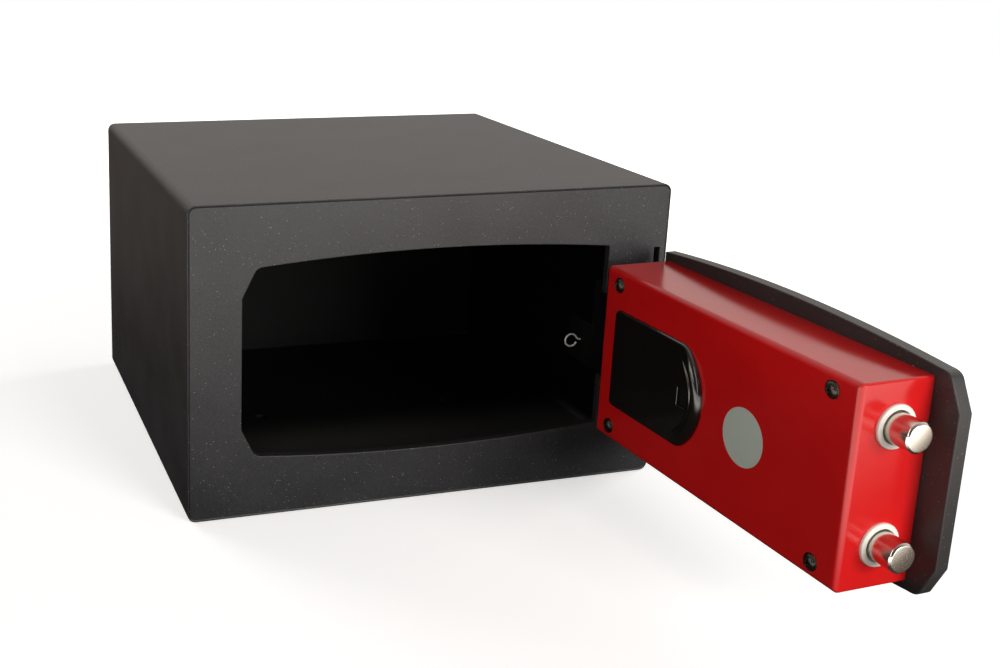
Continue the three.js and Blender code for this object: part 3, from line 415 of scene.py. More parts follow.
def carried(loop, steps):
    """The outline's rings along the depth: drawn in by d at depth y for each step (d, y)."""
    return np.stack([ring_at(inward(loop, d), y) for d, y in steps])


def rounding(radius, count):
    """Steps of a quarter round from a face to the side beside it: in by r (1 - sin a) and down by
    r (1 - cos a), for a from 0 to 90 degrees."""
    a = np.radians(np.linspace(0, 90, count))
    return list(zip(radius * (1 - np.sin(a)), radius * (1 - np.cos(a))))


def opening_outline(inset, right_inset):
    """The doorway's outline: a straight left side, a cut corner, a curve into a shallow arch, and a
    straight right side. inset draws the left, top and bottom in, and right_inset the right side."""
    corner_drop, corner_run, arch_rise = 20.7, 16.6, 5.9
    cut_run, cut_rise = 8.4, 17.3
    left, right, half = DOORWAY_LEFT + inset, DOORWAY_RIGHT - right_inset, DOORWAY_HALF - inset
    side_half, arch_left = half - corner_drop, left + corner_run
    middle, chord = (arch_left + right) / 2, (right - arch_left) / 2
    radius = (chord ** 2 + arch_rise ** 2) / (2 * arch_rise)
    sweep = math.degrees(math.asin(chord / radius))
    arch = arc(middle, half + arch_rise - radius, radius, 90 - sweep, 90 + sweep, 40)
    t = np.linspace(0, 1, 9)[:, None]
    cut_end = np.array([left + cut_run, side_half + cut_rise])
    corner = np.array([left + cut_run * (half - side_half) / cut_rise, half])
    bend = (1 - t) ** 2 * np.array([arch_left, half]) + 2 * t * (1 - t) * corner + t ** 2 * cut_end
    upper = np.concatenate([arch, bend, [[left, side_half]]])
    loop = np.concatenate([upper, upper[::-1] * [1, -1]])
    gap = np.linalg.norm(loop - np.roll(loop, 1, 0), axis=1)
    return loop[gap > 1e-4] + [0, MID_HEIGHT]


def body_opening():
    """The whole hole in the front plate: the doorway, the window beside it that the hinge leaf swings
    through, and the narrow upright slot that the window ends in, as one outline."""
    slot_left, slot_right = 166.4, 170.5
    slot_half, window_half = 63.5, 31.5
    right_side = [
        [DOORWAY_RIGHT, -window_half], [slot_left, -window_half], [slot_left, -slot_half],
        [slot_right, -slot_half], [slot_right, slot_half], [slot_left, slot_half],
        [slot_left, window_half], [DOORWAY_RIGHT, window_half],
    ]
    return np.concatenate([opening_outline(0, 0), np.array(right_side) + [0, MID_HEIGHT]])


def steel_body():
    """The outside is the rounded outline carried along the depth, and the inside is 3 mm further in. The
    sheet's front edge is a half round, drawn in by r (1 + cos a) at depth r (1 - sin a), with the hairline
    groove beside it. The flat of the base is left open in both and closed again round the anchor holes."""
    wall, front, lip, long_side = 3.0, 6.0, 0.45, 2.1
    outline = box_outline(-BODY_WIDTH / 2, BODY_WIDTH / 2, 0, BODY_HEIGHT, 6.0, 12)
    a = np.radians(np.linspace(0, 180, 12))
    rings = [(1.7, 0), (1.3, 0.6), *zip(lip * (1 + np.cos(a)), lip * (1 - np.sin(a)))]
    base_rows = {len(rings): 0.0}
    rings += [(0, long_side), (0, BODY_DEPTH - 2.2)]
    rings += [(d, BODY_DEPTH - y) for d, y in rounding(0.5, 4)[::-1]]
    rings += [(wall - 0.3, BODY_DEPTH), (wall, BODY_DEPTH - 0.3), (wall, front)]
    base_rows[len(rings) - 2] = wall
    outside = carried(outline, rings)
    hole = body_opening()
    rim = carried(hole, [(-d, y) for d, y in rounding(0.6, 5)] + [(0, front)])
    points, faces = net(outside)
    base_faces = {(row + 1) * len(outline) - 1 for row in base_rows}
    edge = rounding(0.4, 5)
    anchors = [
        np.stack([level_at(circle(x, MID_DEPTH, ANCHOR_RADIUS + d), z)
                  for d, z in edge + [(d, wall - z) for d, z in edge[::-1]]])
        for x in ANCHOR_PLACES]
    parts = [
        (points, [face for i, face in enumerate(faces) if i not in base_faces]),
        net(rim),
        face_at(0, outside[0], rim[0]),
        face_at(front, outside[-1], hole),
        *[net(anchor) for anchor in anchors],
    ]
    for row, z in base_rows.items():
        corners = outside[[row, row, row + 1, row + 1], [-1, 0, 0, -1]]
        loops = [corners[:, :2]] + [anchor[0][:, :2] for anchor in anchors]
        parts.append(flat(loops, lambda p, z=z: level_at(p, z)))
    made = make_piece("steel_body", parts, CHARCOAL_COAT, "cabinet",
                      ("body_shell", "front_frame"))

    def unsprayed(p):
        x, y, z = p.T * 1000 + [[0], [MID_DEPTH], [-MID_HEIGHT]]
        inside = (np.abs(x) < BODY_WIDTH / 2 - wall + 0.05) & (np.abs(z) < MID_HEIGHT - wall + 0.05)
        inside &= (y > front - 0.1) & (y < BODY_DEPTH - 0.4)
        return inside | (np.hypot(np.abs(x) - ANCHOR_PLACES[1], y - MID_DEPTH) < ANCHOR_RADIUS + 0.5)

    # The inside takes the primer, whose front floor carries a band of painted light.
    paint(made, PRIMER_AND_PAINTED_LIGHT, unsprayed)


steel_body()


# Back panel: a 3 mm sheet let into the back of the body, with two holes for anchor bolts. As on the body,
# powder coat covers its outside and the inside has only the primer.
def pressed_plate(outline, holes, near, far, edge, steps=4):
    """A flat plate between two depths with every edge rounded: the outline drawn in by e (1 - sin a)
    at e (1 - cos a) from each face, and each hole let out in the same way."""
    front = [(d, near + y) for d, y in rounding(edge, steps)]
    sides = front + [(d, near + far - y) for d, y in front[::-1]]
    outer = carried(outline, sides)
    walls = [carried(hole, [(-d, y) for d, y in sides]) for hole in holes]
    faces = [face_at(y, outer[row], *[wall[row] for wall in walls]) for row, y in ((0, near), (-1, far))]
    return [net(rings) for rings in [outer, *walls]] + faces


def back_panel():
    half_width, base_gap = 172.7, 3.3
    outline = box_outline(-half_width, half_width, base_gap, BODY_HEIGHT - base_gap, 3.0)
    holes = [circle(x, MID_HEIGHT, ANCHOR_RADIUS) for x in ANCHOR_PLACES]
    sheet = pressed_plate(outline, holes, BODY_DEPTH - 3.0, BODY_DEPTH, 0.4)
    made = make_piece("rear_sheet", sheet, CHARCOAL_COAT, "cabinet", ("back_panel",))
    sheet_middle = 0.1635
    paint(made, PRIMER_AND_PAINTED_LIGHT, lambda p: p[:, 1] < sheet_middle)


back_panel()


# Hinge bracket, its tab and the bolt keeper: bent and punched steel inside the doorway, only primed. The
# hinge leaf comes out into view with the door and is sprayed as the body is.
def refinish(material, *names):
    """A better material for CAD pieces whose shape is right as it is."""
    for name in names:
        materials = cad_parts[name].data.materials
        materials.clear()
        materials.append(material)


refinish(PRIMER_AND_PAINTED_LIGHT, "hinge_bracket", "bracket_tab", "bolt_keeper")
refinish(CHARCOAL_COAT, "hinge_leaf")


# Door plate: 9 mm steel cut to the doorway's outline, edges broken with a small chamfer, powder coated.
# Three holes let the knob's spindle, the override lock and the keypad's cable through.
PIVOT = np.array([158.65, 11.25, 0.0])
SWING = math.radians(92.6)
KNOB_X, OVERRIDE_X, KEYPAD_X = -50.0585, -7.9679, 54.0155
OVERRIDE_Z = MID_HEIGHT + 30.0


def door_frame(points):
    """Millimetres on the shut door to metres at rest: turned 92.6 degrees about the hinge pin."""
    p = np.asarray(points, float) - PIVOT
    c, s = math.cos(SWING), math.sin(SWING)
    turned = np.stack([p[:, 0] * c - p[:, 1] * s, p[:, 0] * s + p[:, 1] * c, p[:, 2]], 1)
    return safe_frame(turned + PIVOT)


def door_way(*direction):
    """A direction on the shut door as it points at rest."""
    start, end = door_frame([[0, 0, 0], direction])
    return (end - start) * 1000


def door_piece(name, parts, material, nodes=(), body="door", sharp=40):
    """A piece that is drawn on the shut door."""
    return make_piece(name, parts, material, body, nodes, door_frame, sharp)


DOOR_COAT = powder_material(
    "door_powder_coat", linear(34, 33, 34), linear(46, 45, 46), 0.42, linear(215, 212, 206))


def door_plate():
    holes = [circle(x, z, radius) for x, z, radius in (
        (KNOB_X, MID_HEIGHT, 4.5), (OVERRIDE_X, OVERRIDE_Z, 9.3), (KEYPAD_X, MID_HEIGHT, 4.0))]
    plate = pressed_plate(opening_outline(1.0, 2.5), holes, 0, 8.8, 0.8, 5)
    door_piece("door_slab", plate, DOOR_COAT, ("door_plate",), sharp=30)


door_plate()


# Red lock cover: 1.5 mm sheet folded on four sides into a tray, corners closed but not welded, glossy
# enamel. Its ends butt at the corners with a hairline seam, and its hinge end has a gap for the leaf.
COVER_LEFT, COVER_RIGHT, COVER_HALF = -119.0, 122.9, 60.65
COVER_NEAR, COVER_FACE = 9.1, 58.1
SCREW_COLUMNS, SCREW_RISE = (106.1, -99.0), 50.95
BOLT_DEPTH, BOLT_RISE = 31.9, 34.5


def enamel_material():
    """Glossy red enamel with a faint orange peel and slight clouding, under its own clear gloss."""
    material, add = new_material("red_enamel")
    peel, cloud = noise(add, 420.0), noise(add, 26.0, 3.0)
    finish(add, {
        "Base Color": blended(add, cloud, linear(196, 18, 22), linear(212, 26, 26)),
        "Roughness": ranged(add, cloud, 0.0, 1.0, 0.12, 0.22),
        "Normal": bumped(add, peel, 0.05, 0.0003),
        "IOR": 1.5,
    })
    return material


def battery_outline(margin):
    """The battery cover's outline, grown by margin: straight towards the hinge, bowed at the other end,
    with a corner circle that touches both the straight side and the bow inside."""
    right, half = 106.1 + margin, 34.5 + margin
    straight_end, bow_end, corner, hinge_corner = 27.1, 7.5 - margin, 14.0 + margin, 4.5
    bow = straight_end - bow_end
    radius = (half ** 2 + bow ** 2) / (2 * bow)
    centre = bow_end + radius
    corner_x = centre - math.sqrt((radius - corner) ** 2 - (half - corner) ** 2)
    turn = math.degrees(math.atan2(half - corner, corner_x - centre))
    return np.concatenate([
        arc(right - hinge_corner, MID_HEIGHT - half + hinge_corner, hinge_corner, -90, 0, 12),
        arc(right - hinge_corner, MID_HEIGHT + half - hinge_corner, hinge_corner, 0, 90, 12),
        arc(corner_x, MID_HEIGHT + half - corner, corner, 90, turn, 12)[:-1],
        arc(centre, MID_HEIGHT, radius, turn, 360 - turn, 40),
        arc(corner_x, MID_HEIGHT - half + corner, corner, 360 - turn, 270, 12)[1:],
    ])


def lock_cover():
    """The outside is the tray's outline at each depth; near the face it comes in by r (1 - cos a) and
    up by r sin a, so each fold has a round bend. The inside is the same 1.5 mm further in. One panel of
    the hinge end is left open at the foot, and its cut edges are closed, for the hinge leaf. The free
    end's panel is pierced for the two bushings."""
    sheet, bend, notch_top, notch_half = 1.5, 3.6, 14.6, 30.8
    notch_foot, notch_head, free_top, free_foot = 6, 7, 19, 20

    def tray(inset, face, radius):
        rings = [(0.0, COVER_NEAR), (0.0, notch_top), (0.0, face - radius - 2.0)]
        rings += [(d, face - y) for d, y in rounding(radius, 12)[::-1]]
        rings += [(radius + 1.5, face)]
        loops = []
        for d, y in rings:
            left, right, half = COVER_LEFT + inset + d, COVER_RIGHT - inset - d, COVER_HALF - inset - d
            corner = max(1.5 - 0.45 * (inset + d), 0.12)
            outline = box_outline(left, right, MID_HEIGHT - half, MID_HEIGHT + half, corner, 6)
            sides = [[right, MID_HEIGHT - notch_half], [right, MID_HEIGHT + notch_half]]
            loops.append(ring_at(np.insert(outline, notch_foot, sides, axis=0), y))
        return np.stack(loops)

    def open_net(points):
        where, faces = net(points)
        left_open = (notch_foot, points.shape[1] + free_top)
        return where, [face for i, face in enumerate(faces) if i not in left_open]

    outer = tray(0.0, COVER_FACE, bend)
    inner = tray(sheet, COVER_FACE - sheet, bend - sheet)
    parts = [open_net(outer), open_net(inner), open_net(np.stack([outer[0], inner[0]]))]
    for edge in (
            [outer[0][notch_foot], outer[1][notch_foot], inner[1][notch_foot], inner[0][notch_foot]],
            [outer[0][notch_head], outer[1][notch_head], inner[1][notch_head], inner[0][notch_head]],
            [outer[1][notch_foot], outer[1][notch_head], inner[1][notch_head], inner[1][notch_foot]]):
        parts.append((np.stack(edge), [[0, 1, 2, 3]]))
    bolt_holes = [circle(BOLT_DEPTH, MID_HEIGHT + s * BOLT_RISE, 11.1) for s in (-1, 1)]
    for hole in bolt_holes:
        parts.append(net([np.insert(hole, 0, x, axis=1) for x in (COVER_LEFT, COVER_LEFT + sheet)]))
    for rings in (outer, inner):
        panel = rings[[1, 1, 2, 2], [free_foot, free_top, free_top, free_foot]]
        parts.append(flat([panel[:, 1:]] + bolt_holes, lambda p, x=panel[0, 0]: np.insert(p, 0, x, axis=1)))
    holes = [battery_outline(-4.5)]
    for x in SCREW_COLUMNS:
        holes += [circle(x, MID_HEIGHT + s * SCREW_RISE, 2.3, 24) for s in (-1, 1)]
    parts += [net([ring_at(hole, COVER_FACE), ring_at(hole, COVER_FACE - sheet)]) for hole in holes]
    parts += [face_at(COVER_FACE, outer[-1], *holes), face_at(COVER_FACE - sheet, inner[-1], *holes)]
    door_piece("red_cover", parts, enamel_material(), ("lock_cover",), sharp=38)


lock_cover()


# Four pan-head screws hold the cover: black steel, with a domed head and a cross recess.
# Each goes into a zinc-plated post that stands on the door plate.
def metal_material(name, dark, light, rough_low, rough_high, metallic, scale=300.0):
    """Plated or blackened metal: colour and gloss both run with a fine noise."""
    material, add = new_material(name)
    grain = noise(add, scale, 4.0)
    finish(add, {
        "Base Color": blended(add, grain, dark, light),
        "Roughness": ranged(add, grain, 0.3, 0.7, rough_low, rough_high),
        "Normal": bumped(add, grain, 0.06, 0.0001),
        "Metallic": metallic,
    })
    return material


BLACK_STEEL = metal_material("black_steel", linear(52, 50, 46), linear(78, 74, 68), 0.22, 0.36, 0.85)
ZINC = metal_material("zinc_plate", linear(160, 160, 158), linear(196, 196, 192), 0.26, 0.42, 1.0)


def turned(profile, sides):
    """A profile of radius and place along the axis, turned through a full circle: the three grids of
    place, r cos a and r sin a. The ends close at the axis where the radius is 0."""
    profile = np.asarray(profile, float)
    a = np.linspace(0, 2 * np.pi, sides, endpoint=False)
    r, place = profile[:, :1], profile[:, 1:]
    return place + 0 * a, r * np.cos(a), r * np.sin(a)


def turned_y(profile, x, z, sides):
    """The turned profile with its axis along the depth, through (x, z)."""
    along, across, up = turned(profile, sides)
    return net(np.stack([x + across, along, z + up], -1))


def turned_x(profile, y, z, sides=64):
    """The turned profile with its axis along the width, through (y, z)."""
    along, across, up = turned(profile, sides)
    return net(np.stack([along, y + across, z + up], -1))


def cover_screw(number, x, z):
    """A low flange, then a dome of height h (1 - (r / R) ** 2), with a cross sunk into it: the dome drops
    by a depth that falls off across the arms of the cross."""
    seat, radius, dome, sides = COVER_FACE + 0.05, 5.3, 2.9, 96
    rings = np.concatenate([[0.0], np.linspace(0.12, radius - 1.0, 26)])
    a = np.linspace(0, 2 * np.pi, sides, endpoint=False)
    r, a = np.meshgrid(rings, a, indexing="ij")
    across = np.minimum(np.abs(r * np.cos(a)), np.abs(r * np.sin(a)))
    arm = np.clip(1 - (across - 0.38) / 0.25, 0, 1) * np.clip((2.1 - r) / 0.5, 0, 1)
    height = seat + 0.7 + (dome - 0.7) * np.sqrt(np.clip(1 - (r / (radius - 0.95)) ** 2, 0, 1)) - 1.3 * arm
    top = np.stack([x + r * np.cos(a), height, z + r * np.sin(a)], -1)
    edge = turned_y([
        [radius - 1.0, top[-1, 0, 1]], [radius - 0.85, seat + 0.62], [radius - 0.25, seat + 0.6],
        [radius, seat + 0.4], [radius, seat], [2.0, seat], [2.0, seat - 13], [0.0, seat - 14],
    ], x, z, sides)
    door_piece(f"domed_screw_{number}", [net(top), edge], BLACK_STEEL,
               (f"cover_screw_{number}",), sharp=50)


screw_places = [(x, MID_HEIGHT + side * SCREW_RISE) for x in SCREW_COLUMNS for side in (1, -1)]
for number, (screw_x, screw_z) in enumerate(screw_places, 1):
    cover_screw(number, screw_x, screw_z)
    refinish(ZINC, f"cover_post_{number}")


# Two sliding bolts of 18 mm steel bar, ground, nickel plated and polished, in white nylon bushings that
# snap into the cover's end with a flat flange outside and a little play round the bar.
PLATED = linear(196, 190, 182), linear(214, 209, 202)
NICKEL = metal_material("bright_nickel", *PLATED, 0.05, 0.12, 1.0, 160.0)
NICKEL_SHANK = metal_material("drawn_nickel", *PLATED, 0.15, 0.25, 1.0, 160.0)
NICKEL_FACE = metal_material(
    "faced_nickel", linear(206, 200, 190), linear(222, 216, 206), 0.2, 0.28, 1.0, 2600.0)


def plastic_material(name, dark, light, rough, bump, scale, translucent=0.0, shine=0.5):
    """Moulded plastic: a fine spark-eroded grain in height and gloss, and a slow drift of tone."""
    material, add = new_material(name)
    grain, drift = noise(add, scale, 3.0), noise(add, 40.0)
    finish(add, {
        "Base Color": blended(add, drift, dark, light),
        "Roughness": ranged(add, grain, 0.0, 1.0, rough - 0.06, rough + 0.06),
        "Normal": bumped(add, grain, bump, 0.0002),
        "IOR": 1.5,
        "Specular IOR Level": shine,
        "Subsurface Weight": translucent,
        "Subsurface Scale": 0.002,
    })
    return material


WHITE_NYLON = plastic_material(
    "white_nylon", linear(226, 223, 214), linear(238, 236, 230), 0.42, 0.05, 500.0, translucent=0.2)


def sliding_bolt(name, z):
    """A turned bar: a tip that domes by 0.35 (1 - (r / R) ** 2), a crisp chamfer, the shank, and a
    thinner spigot at its root. The tip has the lathe's faced finish, the chamfer is polished and the
    shank drawn."""
    tip, shoulder, root = -137.3, -80.3, -72.3
    radius, faced, spigot = 9.0, 7.7, 4.7
    r = np.linspace(0, faced, 10)
    dome = np.stack([r, tip + 0.35 * (r / faced) ** 2], 1)
    chamfer = [[faced + 0.16, tip + 0.4], [radius - 0.3, tip + 1.12], [radius - 0.06, tip + 1.42]]
    shank = [[radius, tip + 2.4], [radius, shoulder], [spigot, shoulder], [spigot, root], [0, root]]
    bar = turned_x(np.concatenate([dome, chamfer, shank]), BOLT_DEPTH, z, 96)
    made = door_piece(name + "_bar", [bar], NICKEL_SHANK, (name,), "boltwork", 30)
    outward, end = door_way(-1, 0, 0), door_frame([[tip, BOLT_DEPTH, z]])[0]
    paint(made, NICKEL, lambda p: (end - p) @ outward < 0.0016)
    paint(made, NICKEL_FACE, lambda p: (end - p) @ outward < 0.00037)


def bolt_bushing(name, z):
    """A turned ring: a flat flange with a rounded rim, and a sleeve that leaves 0.8 mm round the bar."""
    face, bore, sleeve = COVER_LEFT - 0.05, 9.8, 10.8
    top = face - 2.1
    profile = [
        [bore, face + 9.0], [bore, top + 0.35], [bore + 0.12, top + 0.1], [bore + 0.4, top],
        [12.1, top + 0.1], [12.6, top + 0.4], [12.85, top + 0.9], [12.9, top + 1.4], [12.9, face],
        [sleeve, face], [sleeve, face + 8.6], [10.4, face + 9.0], [bore, face + 9.0],
    ]
    ring = turned_x(profile, BOLT_DEPTH, z, 96)
    door_piece(name + "_ring", [ring], WHITE_NYLON, (name,), sharp=45)


for bolt_name, bolt_z in (("upper_bolt", MID_HEIGHT + BOLT_RISE), ("lower_bolt", MID_HEIGHT - BOLT_RISE)):
    sliding_bolt(bolt_name, bolt_z)
    bolt_bushing(bolt_name + "_bushing", bolt_z)


# Battery cover: moulded black plastic that clips over the cells, nearly flat, with a thick rolled lip at
# its bowed end, a fine ridge inside the lip and a small square recess for a fingertip.
COVER_PLASTIC = plastic_material(
    "black_moulding", linear(20, 18, 16), linear(27, 25, 22), 0.14, 0.02, 700.0, shine=0.95)


def battery_cover():
    """Rings of the outline from the rim to the middle. The rim rounds over as sqrt(1 - (1 - d / r) ** 2);
    towards the bowed end it swells into a lip 2 mm higher, which falls back into a shallow groove and
    meets the flat over a fine ridge. Past 3.4 mm the rings close on a smaller copy of the outline, so
    none fold."""
    near, top, lip_width, lip_height, deep = COVER_FACE + 0.05, 2.4, 4.8, 4.7, 3.4
    face = near + top
    loop = battery_outline(0.0)
    bow = np.clip((27.0 - loop[:, 0]) / 13.0, 0, 1)
    bow = bow * bow * (3 - 2 * bow)
    start = inward(loop, deep)
    middle = np.array([60.0, MID_HEIGHT])
    close = middle + (loop - middle) * 0.74
    span = np.linalg.norm(close - start, axis=1)

    def ring(d):
        if d <= deep:
            return inward(loop, d)
        return start + (close - start) * np.clip((d - deep) / span, 0, 1)[:, None]

    def rim(d, radius, height):
        return height * math.sqrt(max(0.0, 1 - (1 - min(d, radius) / radius) ** 2))

    fall = np.array([
        [lip_width, lip_height], [5.4, 4.66], [6.0, 4.5], [6.6, 4.2], [7.2, 3.75], [7.7, 3.3], [8.0, 3.1],
        [8.3, 3.1], [8.6, 3.35], [8.9, 3.6], [9.2, 3.7], [9.8, 3.5], [10.6, 2.9], [11.2, 2.5], [11.6, top],
    ])
    depths = [*lip_width * (1 - np.cos(np.radians(np.linspace(0, 90, 10)))), *np.arange(4.95, 11.78, 0.15)]
    rows = [ring_at(loop, near)]
    for d in depths:
        lip = rim(d, lip_width, lip_height) if d < lip_width else np.interp(d, fall[:, 0], fall[:, 1])
        height = rim(d, 1.9, top) * (1 - bow) + lip * bow
        rows.append(ring_at(ring(d), near + height))
    latch, latch_floor = box_outline(19.9, 30.6, MID_HEIGHT - 6.8, MID_HEIGHT + 6.4, 0.9, 4), face - 2.1
    sunk = [(0.0, face), (0.12, face - 0.06), (0.34, face - 0.3), (0.4, face - 0.6), (0.4, latch_floor)]
    walls = carried(latch, sunk)
    parts = [
        net(rows), face_at(face, rows[-1], latch),
        net(walls), face_at(latch_floor, walls[-1]), face_at(near, loop),
    ]
    lid = door_piece("battery_lid", parts, COVER_PLASTIC, ("battery_cover",),
                     "battery_cover")
    outward, centre = door_way(0, 1, 0), door_frame([[25.2, face, MID_HEIGHT]])[0]
    # Painted shade: the fingertip recess's walls and floor below its top 0.4 mm, and the hidden underside
    # near it, take the matt near-black primer so that the recess reads dark.
    paint(lid, PRIMER_AND_PAINTED_LIGHT, lambda p: (
        ((centre - p) @ outward > 0.0004) & (np.linalg.norm(p - centre, axis=1) < 0.0095)))


battery_cover()


# Round label: a bare disc of silver-grey foil, 36 mm across and 0.3 mm thick, stuck to the lock cover
# below its middle.
LABEL_FOIL = plastic_material("bare_foil", linear(186, 197, 188), linear(196, 207, 198), 0.34, 0.03, 500.0)


def round_label():
    x, z, radius = COVER_RIGHT - 155.4, MID_HEIGHT - 3.9, 18.2
    profile = [[0, 0.3], [radius - 0.3, 0.3], [radius, 0.15], [radius, 0.02], [0, 0.02]]
    disc = turned_y(np.array(profile) + [0, COVER_FACE], x, z, 96)
    door_piece("foil_disc", [disc], LABEL_FOIL, ("round_label",), sharp=38)


round_label()


# Split pin: one length of bright round wire bent to an open eye that stands out of the hinge bracket,
# with its tail bent over behind the tab.
BRIGHT_WIRE = metal_material("bright_wire", linear(248, 248, 245), linear(255, 255, 254), 0.22, 0.34, 0.15)


def wire_tube(path, radius, sides, square_to):
    """A round tube carried along a path: each ring stands square to the path in the frame of its tangent
    and a fixed vector that the path never follows, with the ends closed at a point."""
    path = np.asarray(path, float)
    tangent = np.gradient(path, axis=0)
    tangent /= np.linalg.norm(tangent, axis=1, keepdims=True)
    side = np.cross(tangent, square_to)
    side /= np.maximum(np.linalg.norm(side, axis=1, keepdims=True), 1e-6)
    rise = np.cross(side, tangent)
    a = np.linspace(0, 2 * np.pi, sides, endpoint=False)[:, None]
    width = np.full((len(path), 1, 1), radius)
    width[[0, -1]] = 0
    return net(path[:, None] + width * (np.cos(a) * side[:, None] + np.sin(a) * rise[:, None]))


def split_pin():
    """The tail bends into the straight shank, which leads through a cubic curve, level at one end and
    along the tangent of the eye's circle at the other, into the open eye."""
    depth, flange, z = 43.0, 136.0, MID_HEIGHT - 17.75
    level = z + 0.3
    eye = arc(flange - 7.4, z, 4.75, 64, 337, 44)
    tail, knee, start, lead = np.array([
        [flange + 10.4, z - 3.4], [flange + 7.2, level], [flange + 5.2, level], [flange - 0.7, level]])
    leave, meet = lead - [1.6, 0.0], eye[0] + [1.8, -0.88]
    t = np.linspace(0, 1, 18)[:, None]
    bent = (1 - t) ** 2 * tail + 2 * t * (1 - t) * knee + t ** 2 * start
    shank = start + (lead - start) * t
    blend = (1 - t) ** 3 * lead + 3 * t * (1 - t) ** 2 * leave + 3 * t ** 2 * (1 - t) * meet + t ** 3 * eye[0]
    path = ring_at(np.concatenate([bent[:-1], shank[:-1], blend[:-1], eye]), depth)
    blunt = 0.02
    first, last = path[0] + (path[0] - path[1]) * blunt, path[-1] + (path[-1] - path[-2]) * blunt
    wire = wire_tube([first, *path, last], 0.7, 14, (0, 1, 0))
    make_piece("bent_wire_pin", [wire], BRIGHT_WIRE, "cabinet", ("split_pin",))


split_pin()


# Keypad housing: one black moulding with a rounded rim round a sunk panel, pierced with wells for twelve
# keys and a recess for the smoked display window. It is screwed on from inside the door.
KEYPAD_PANEL = -7.6
KEY_WIDTH, KEY_HEIGHT, KEY_CORNER = 14.99, 12.5, 2.5
KEY_PLACES = [(KEYPAD_X + column * 20.99, z) for z in (124.75, 106.25, 87.75, 69.25) for column in (-1, 0, 1)]
WINDOW_Z = 149.0
HOUSING_PLASTIC = plastic_material(
    "housing_plastic", linear(27, 27, 28), linear(35, 35, 36), 0.44, 0.16, 1500.0)


def box_round(x, z, width, height, corner, count=6):
    """The rounded rectangle of a width and height about a middle."""
    return box_outline(x - width / 2, x + width / 2, z - height / 2, z + height / 2, corner, count)


def keypad_housing():
    """Rings of the outline: a wall with a slight draft, a quarter round of 1.9 mm, a flat rim, and a
    second small round down to the panel. Each well is its outline carried inwards from the panel."""
    back, crest = -0.3, -8.3
    rings = [(0.0, back), (0.2, -6.3)]
    rings += [(0.2 + d, crest + y) for d, y in rounding(1.9, 9)[::-1]]
    rings += [(3.95 - d, crest + y) for d, y in rounding(0.35, 5)]
    rings += [(4.1, KEYPAD_PANEL)]
    outside = carried(box_outline(15.03, 93.0, 54.0, 166.0, 9.0, 14), rings)
    play, edge, key_floor, window_floor = 0.7, 0.3, -2.2, -6.0
    wells = [(box_round(x, z, KEY_WIDTH + play, KEY_HEIGHT + play, KEY_CORNER + 0.3), key_floor)
             for x, z in KEY_PLACES]
    wells.append((box_round(KEYPAD_X, WINDOW_Z, 44.2, 14.2, 2.4), window_floor))
    rims = [inward(well, -edge) for well, floor in wells]
    parts = [net(outside), face_at(back, outside[0]), face_at(KEYPAD_PANEL, outside[-1], *rims)]
    for well, floor in wells:
        steps = [
            (-edge, KEYPAD_PANEL), (-0.09, KEYPAD_PANEL + 0.09), (0.0, KEYPAD_PANEL + edge), (0.0, floor)]
        parts += [net(carried(well, steps)), face_at(floor, well)]
    door_piece("housing_moulding", parts, HOUSING_PLASTIC, ("keypad_housing",))


def window_material():
    """Smoked acrylic, so dark that it reads as black until light strikes it, with faint wiping marks."""
    material, add = new_material("smoked_acrylic")
    place = add("TexCoord").outputs["Object"]
    drawn = add("Mapping", {"Vector": place, "Scale": (1, 1, 9)}).outputs[0]
    wiping = add("TexNoise", {"Vector": drawn, "Scale": 70.0, "Detail": 4.0}).outputs["Fac"]
    finish(add, {
        "Base Color": blended(add, wiping, linear(22, 5, 7), linear(34, 8, 10)),
        "Roughness": ranged(add, wiping, 0.0, 1.0, 0.03, 0.1),
        "IOR": 1.49,
        "Coat Weight": 0.4,
    })
    return material


def display_window():
    pane = pressed_plate(box_round(KEYPAD_X, WINDOW_Z, 43.97, 14.0, 2.3), [], -8.0, -6.2, 0.45, 5)
    door_piece("display_pane", pane, window_material(), ("display_window",))


keypad_housing()
display_window()


# Twelve keys: grey moulded caps with a shallow dish for the fingertip, and their figures pad-printed in
# white. Each sits in its own well on a rubber mat and goes in by 1 mm.
KEY_GREY = plastic_material("key_grey_plastic", linear(70, 71, 74), linear(82, 83, 86), 0.46, 0.12, 1600.0)
PRINT_WHITE = plastic_material("white_print", linear(216, 216, 212), linear(228, 228, 224), 0.5, 0.04, 1200.0)
KEY_FACE, KEY_BACK, KEY_DISH = -9.9, -3.9, 0.3


def key_cap(number, x, z):
    """A drafted wall, a round of 0.9 mm, and a face that sinks by dish * (1 - s ** 2), where s runs from
    1 at its edge to 0 in the middle and scales the outline about the middle."""
    draft = 0.14
    loop = box_round(x, z, KEY_WIDTH, KEY_HEIGHT, KEY_CORNER, 8)
    rings = [(0.0, KEY_BACK), (draft, -8.9)] + [(draft + d, KEY_FACE + y) for d, y in rounding(0.9, 7)[::-1]]
    wall = carried(loop, rings)
    middle, edge = np.array([x, z]), wall[-1][:, [0, 2]]
    dish = [ring_at(middle + (edge - middle) * s, KEY_FACE + KEY_DISH * (1 - s ** 2))
            for s in np.linspace(1, 0, 9)]
    parts = [net(wall), net(dish), face_at(KEY_BACK, loop)]
    door_piece(f"key_cap_{number}", parts, KEY_GREY, (f"key_{number}",), f"key_{number}")


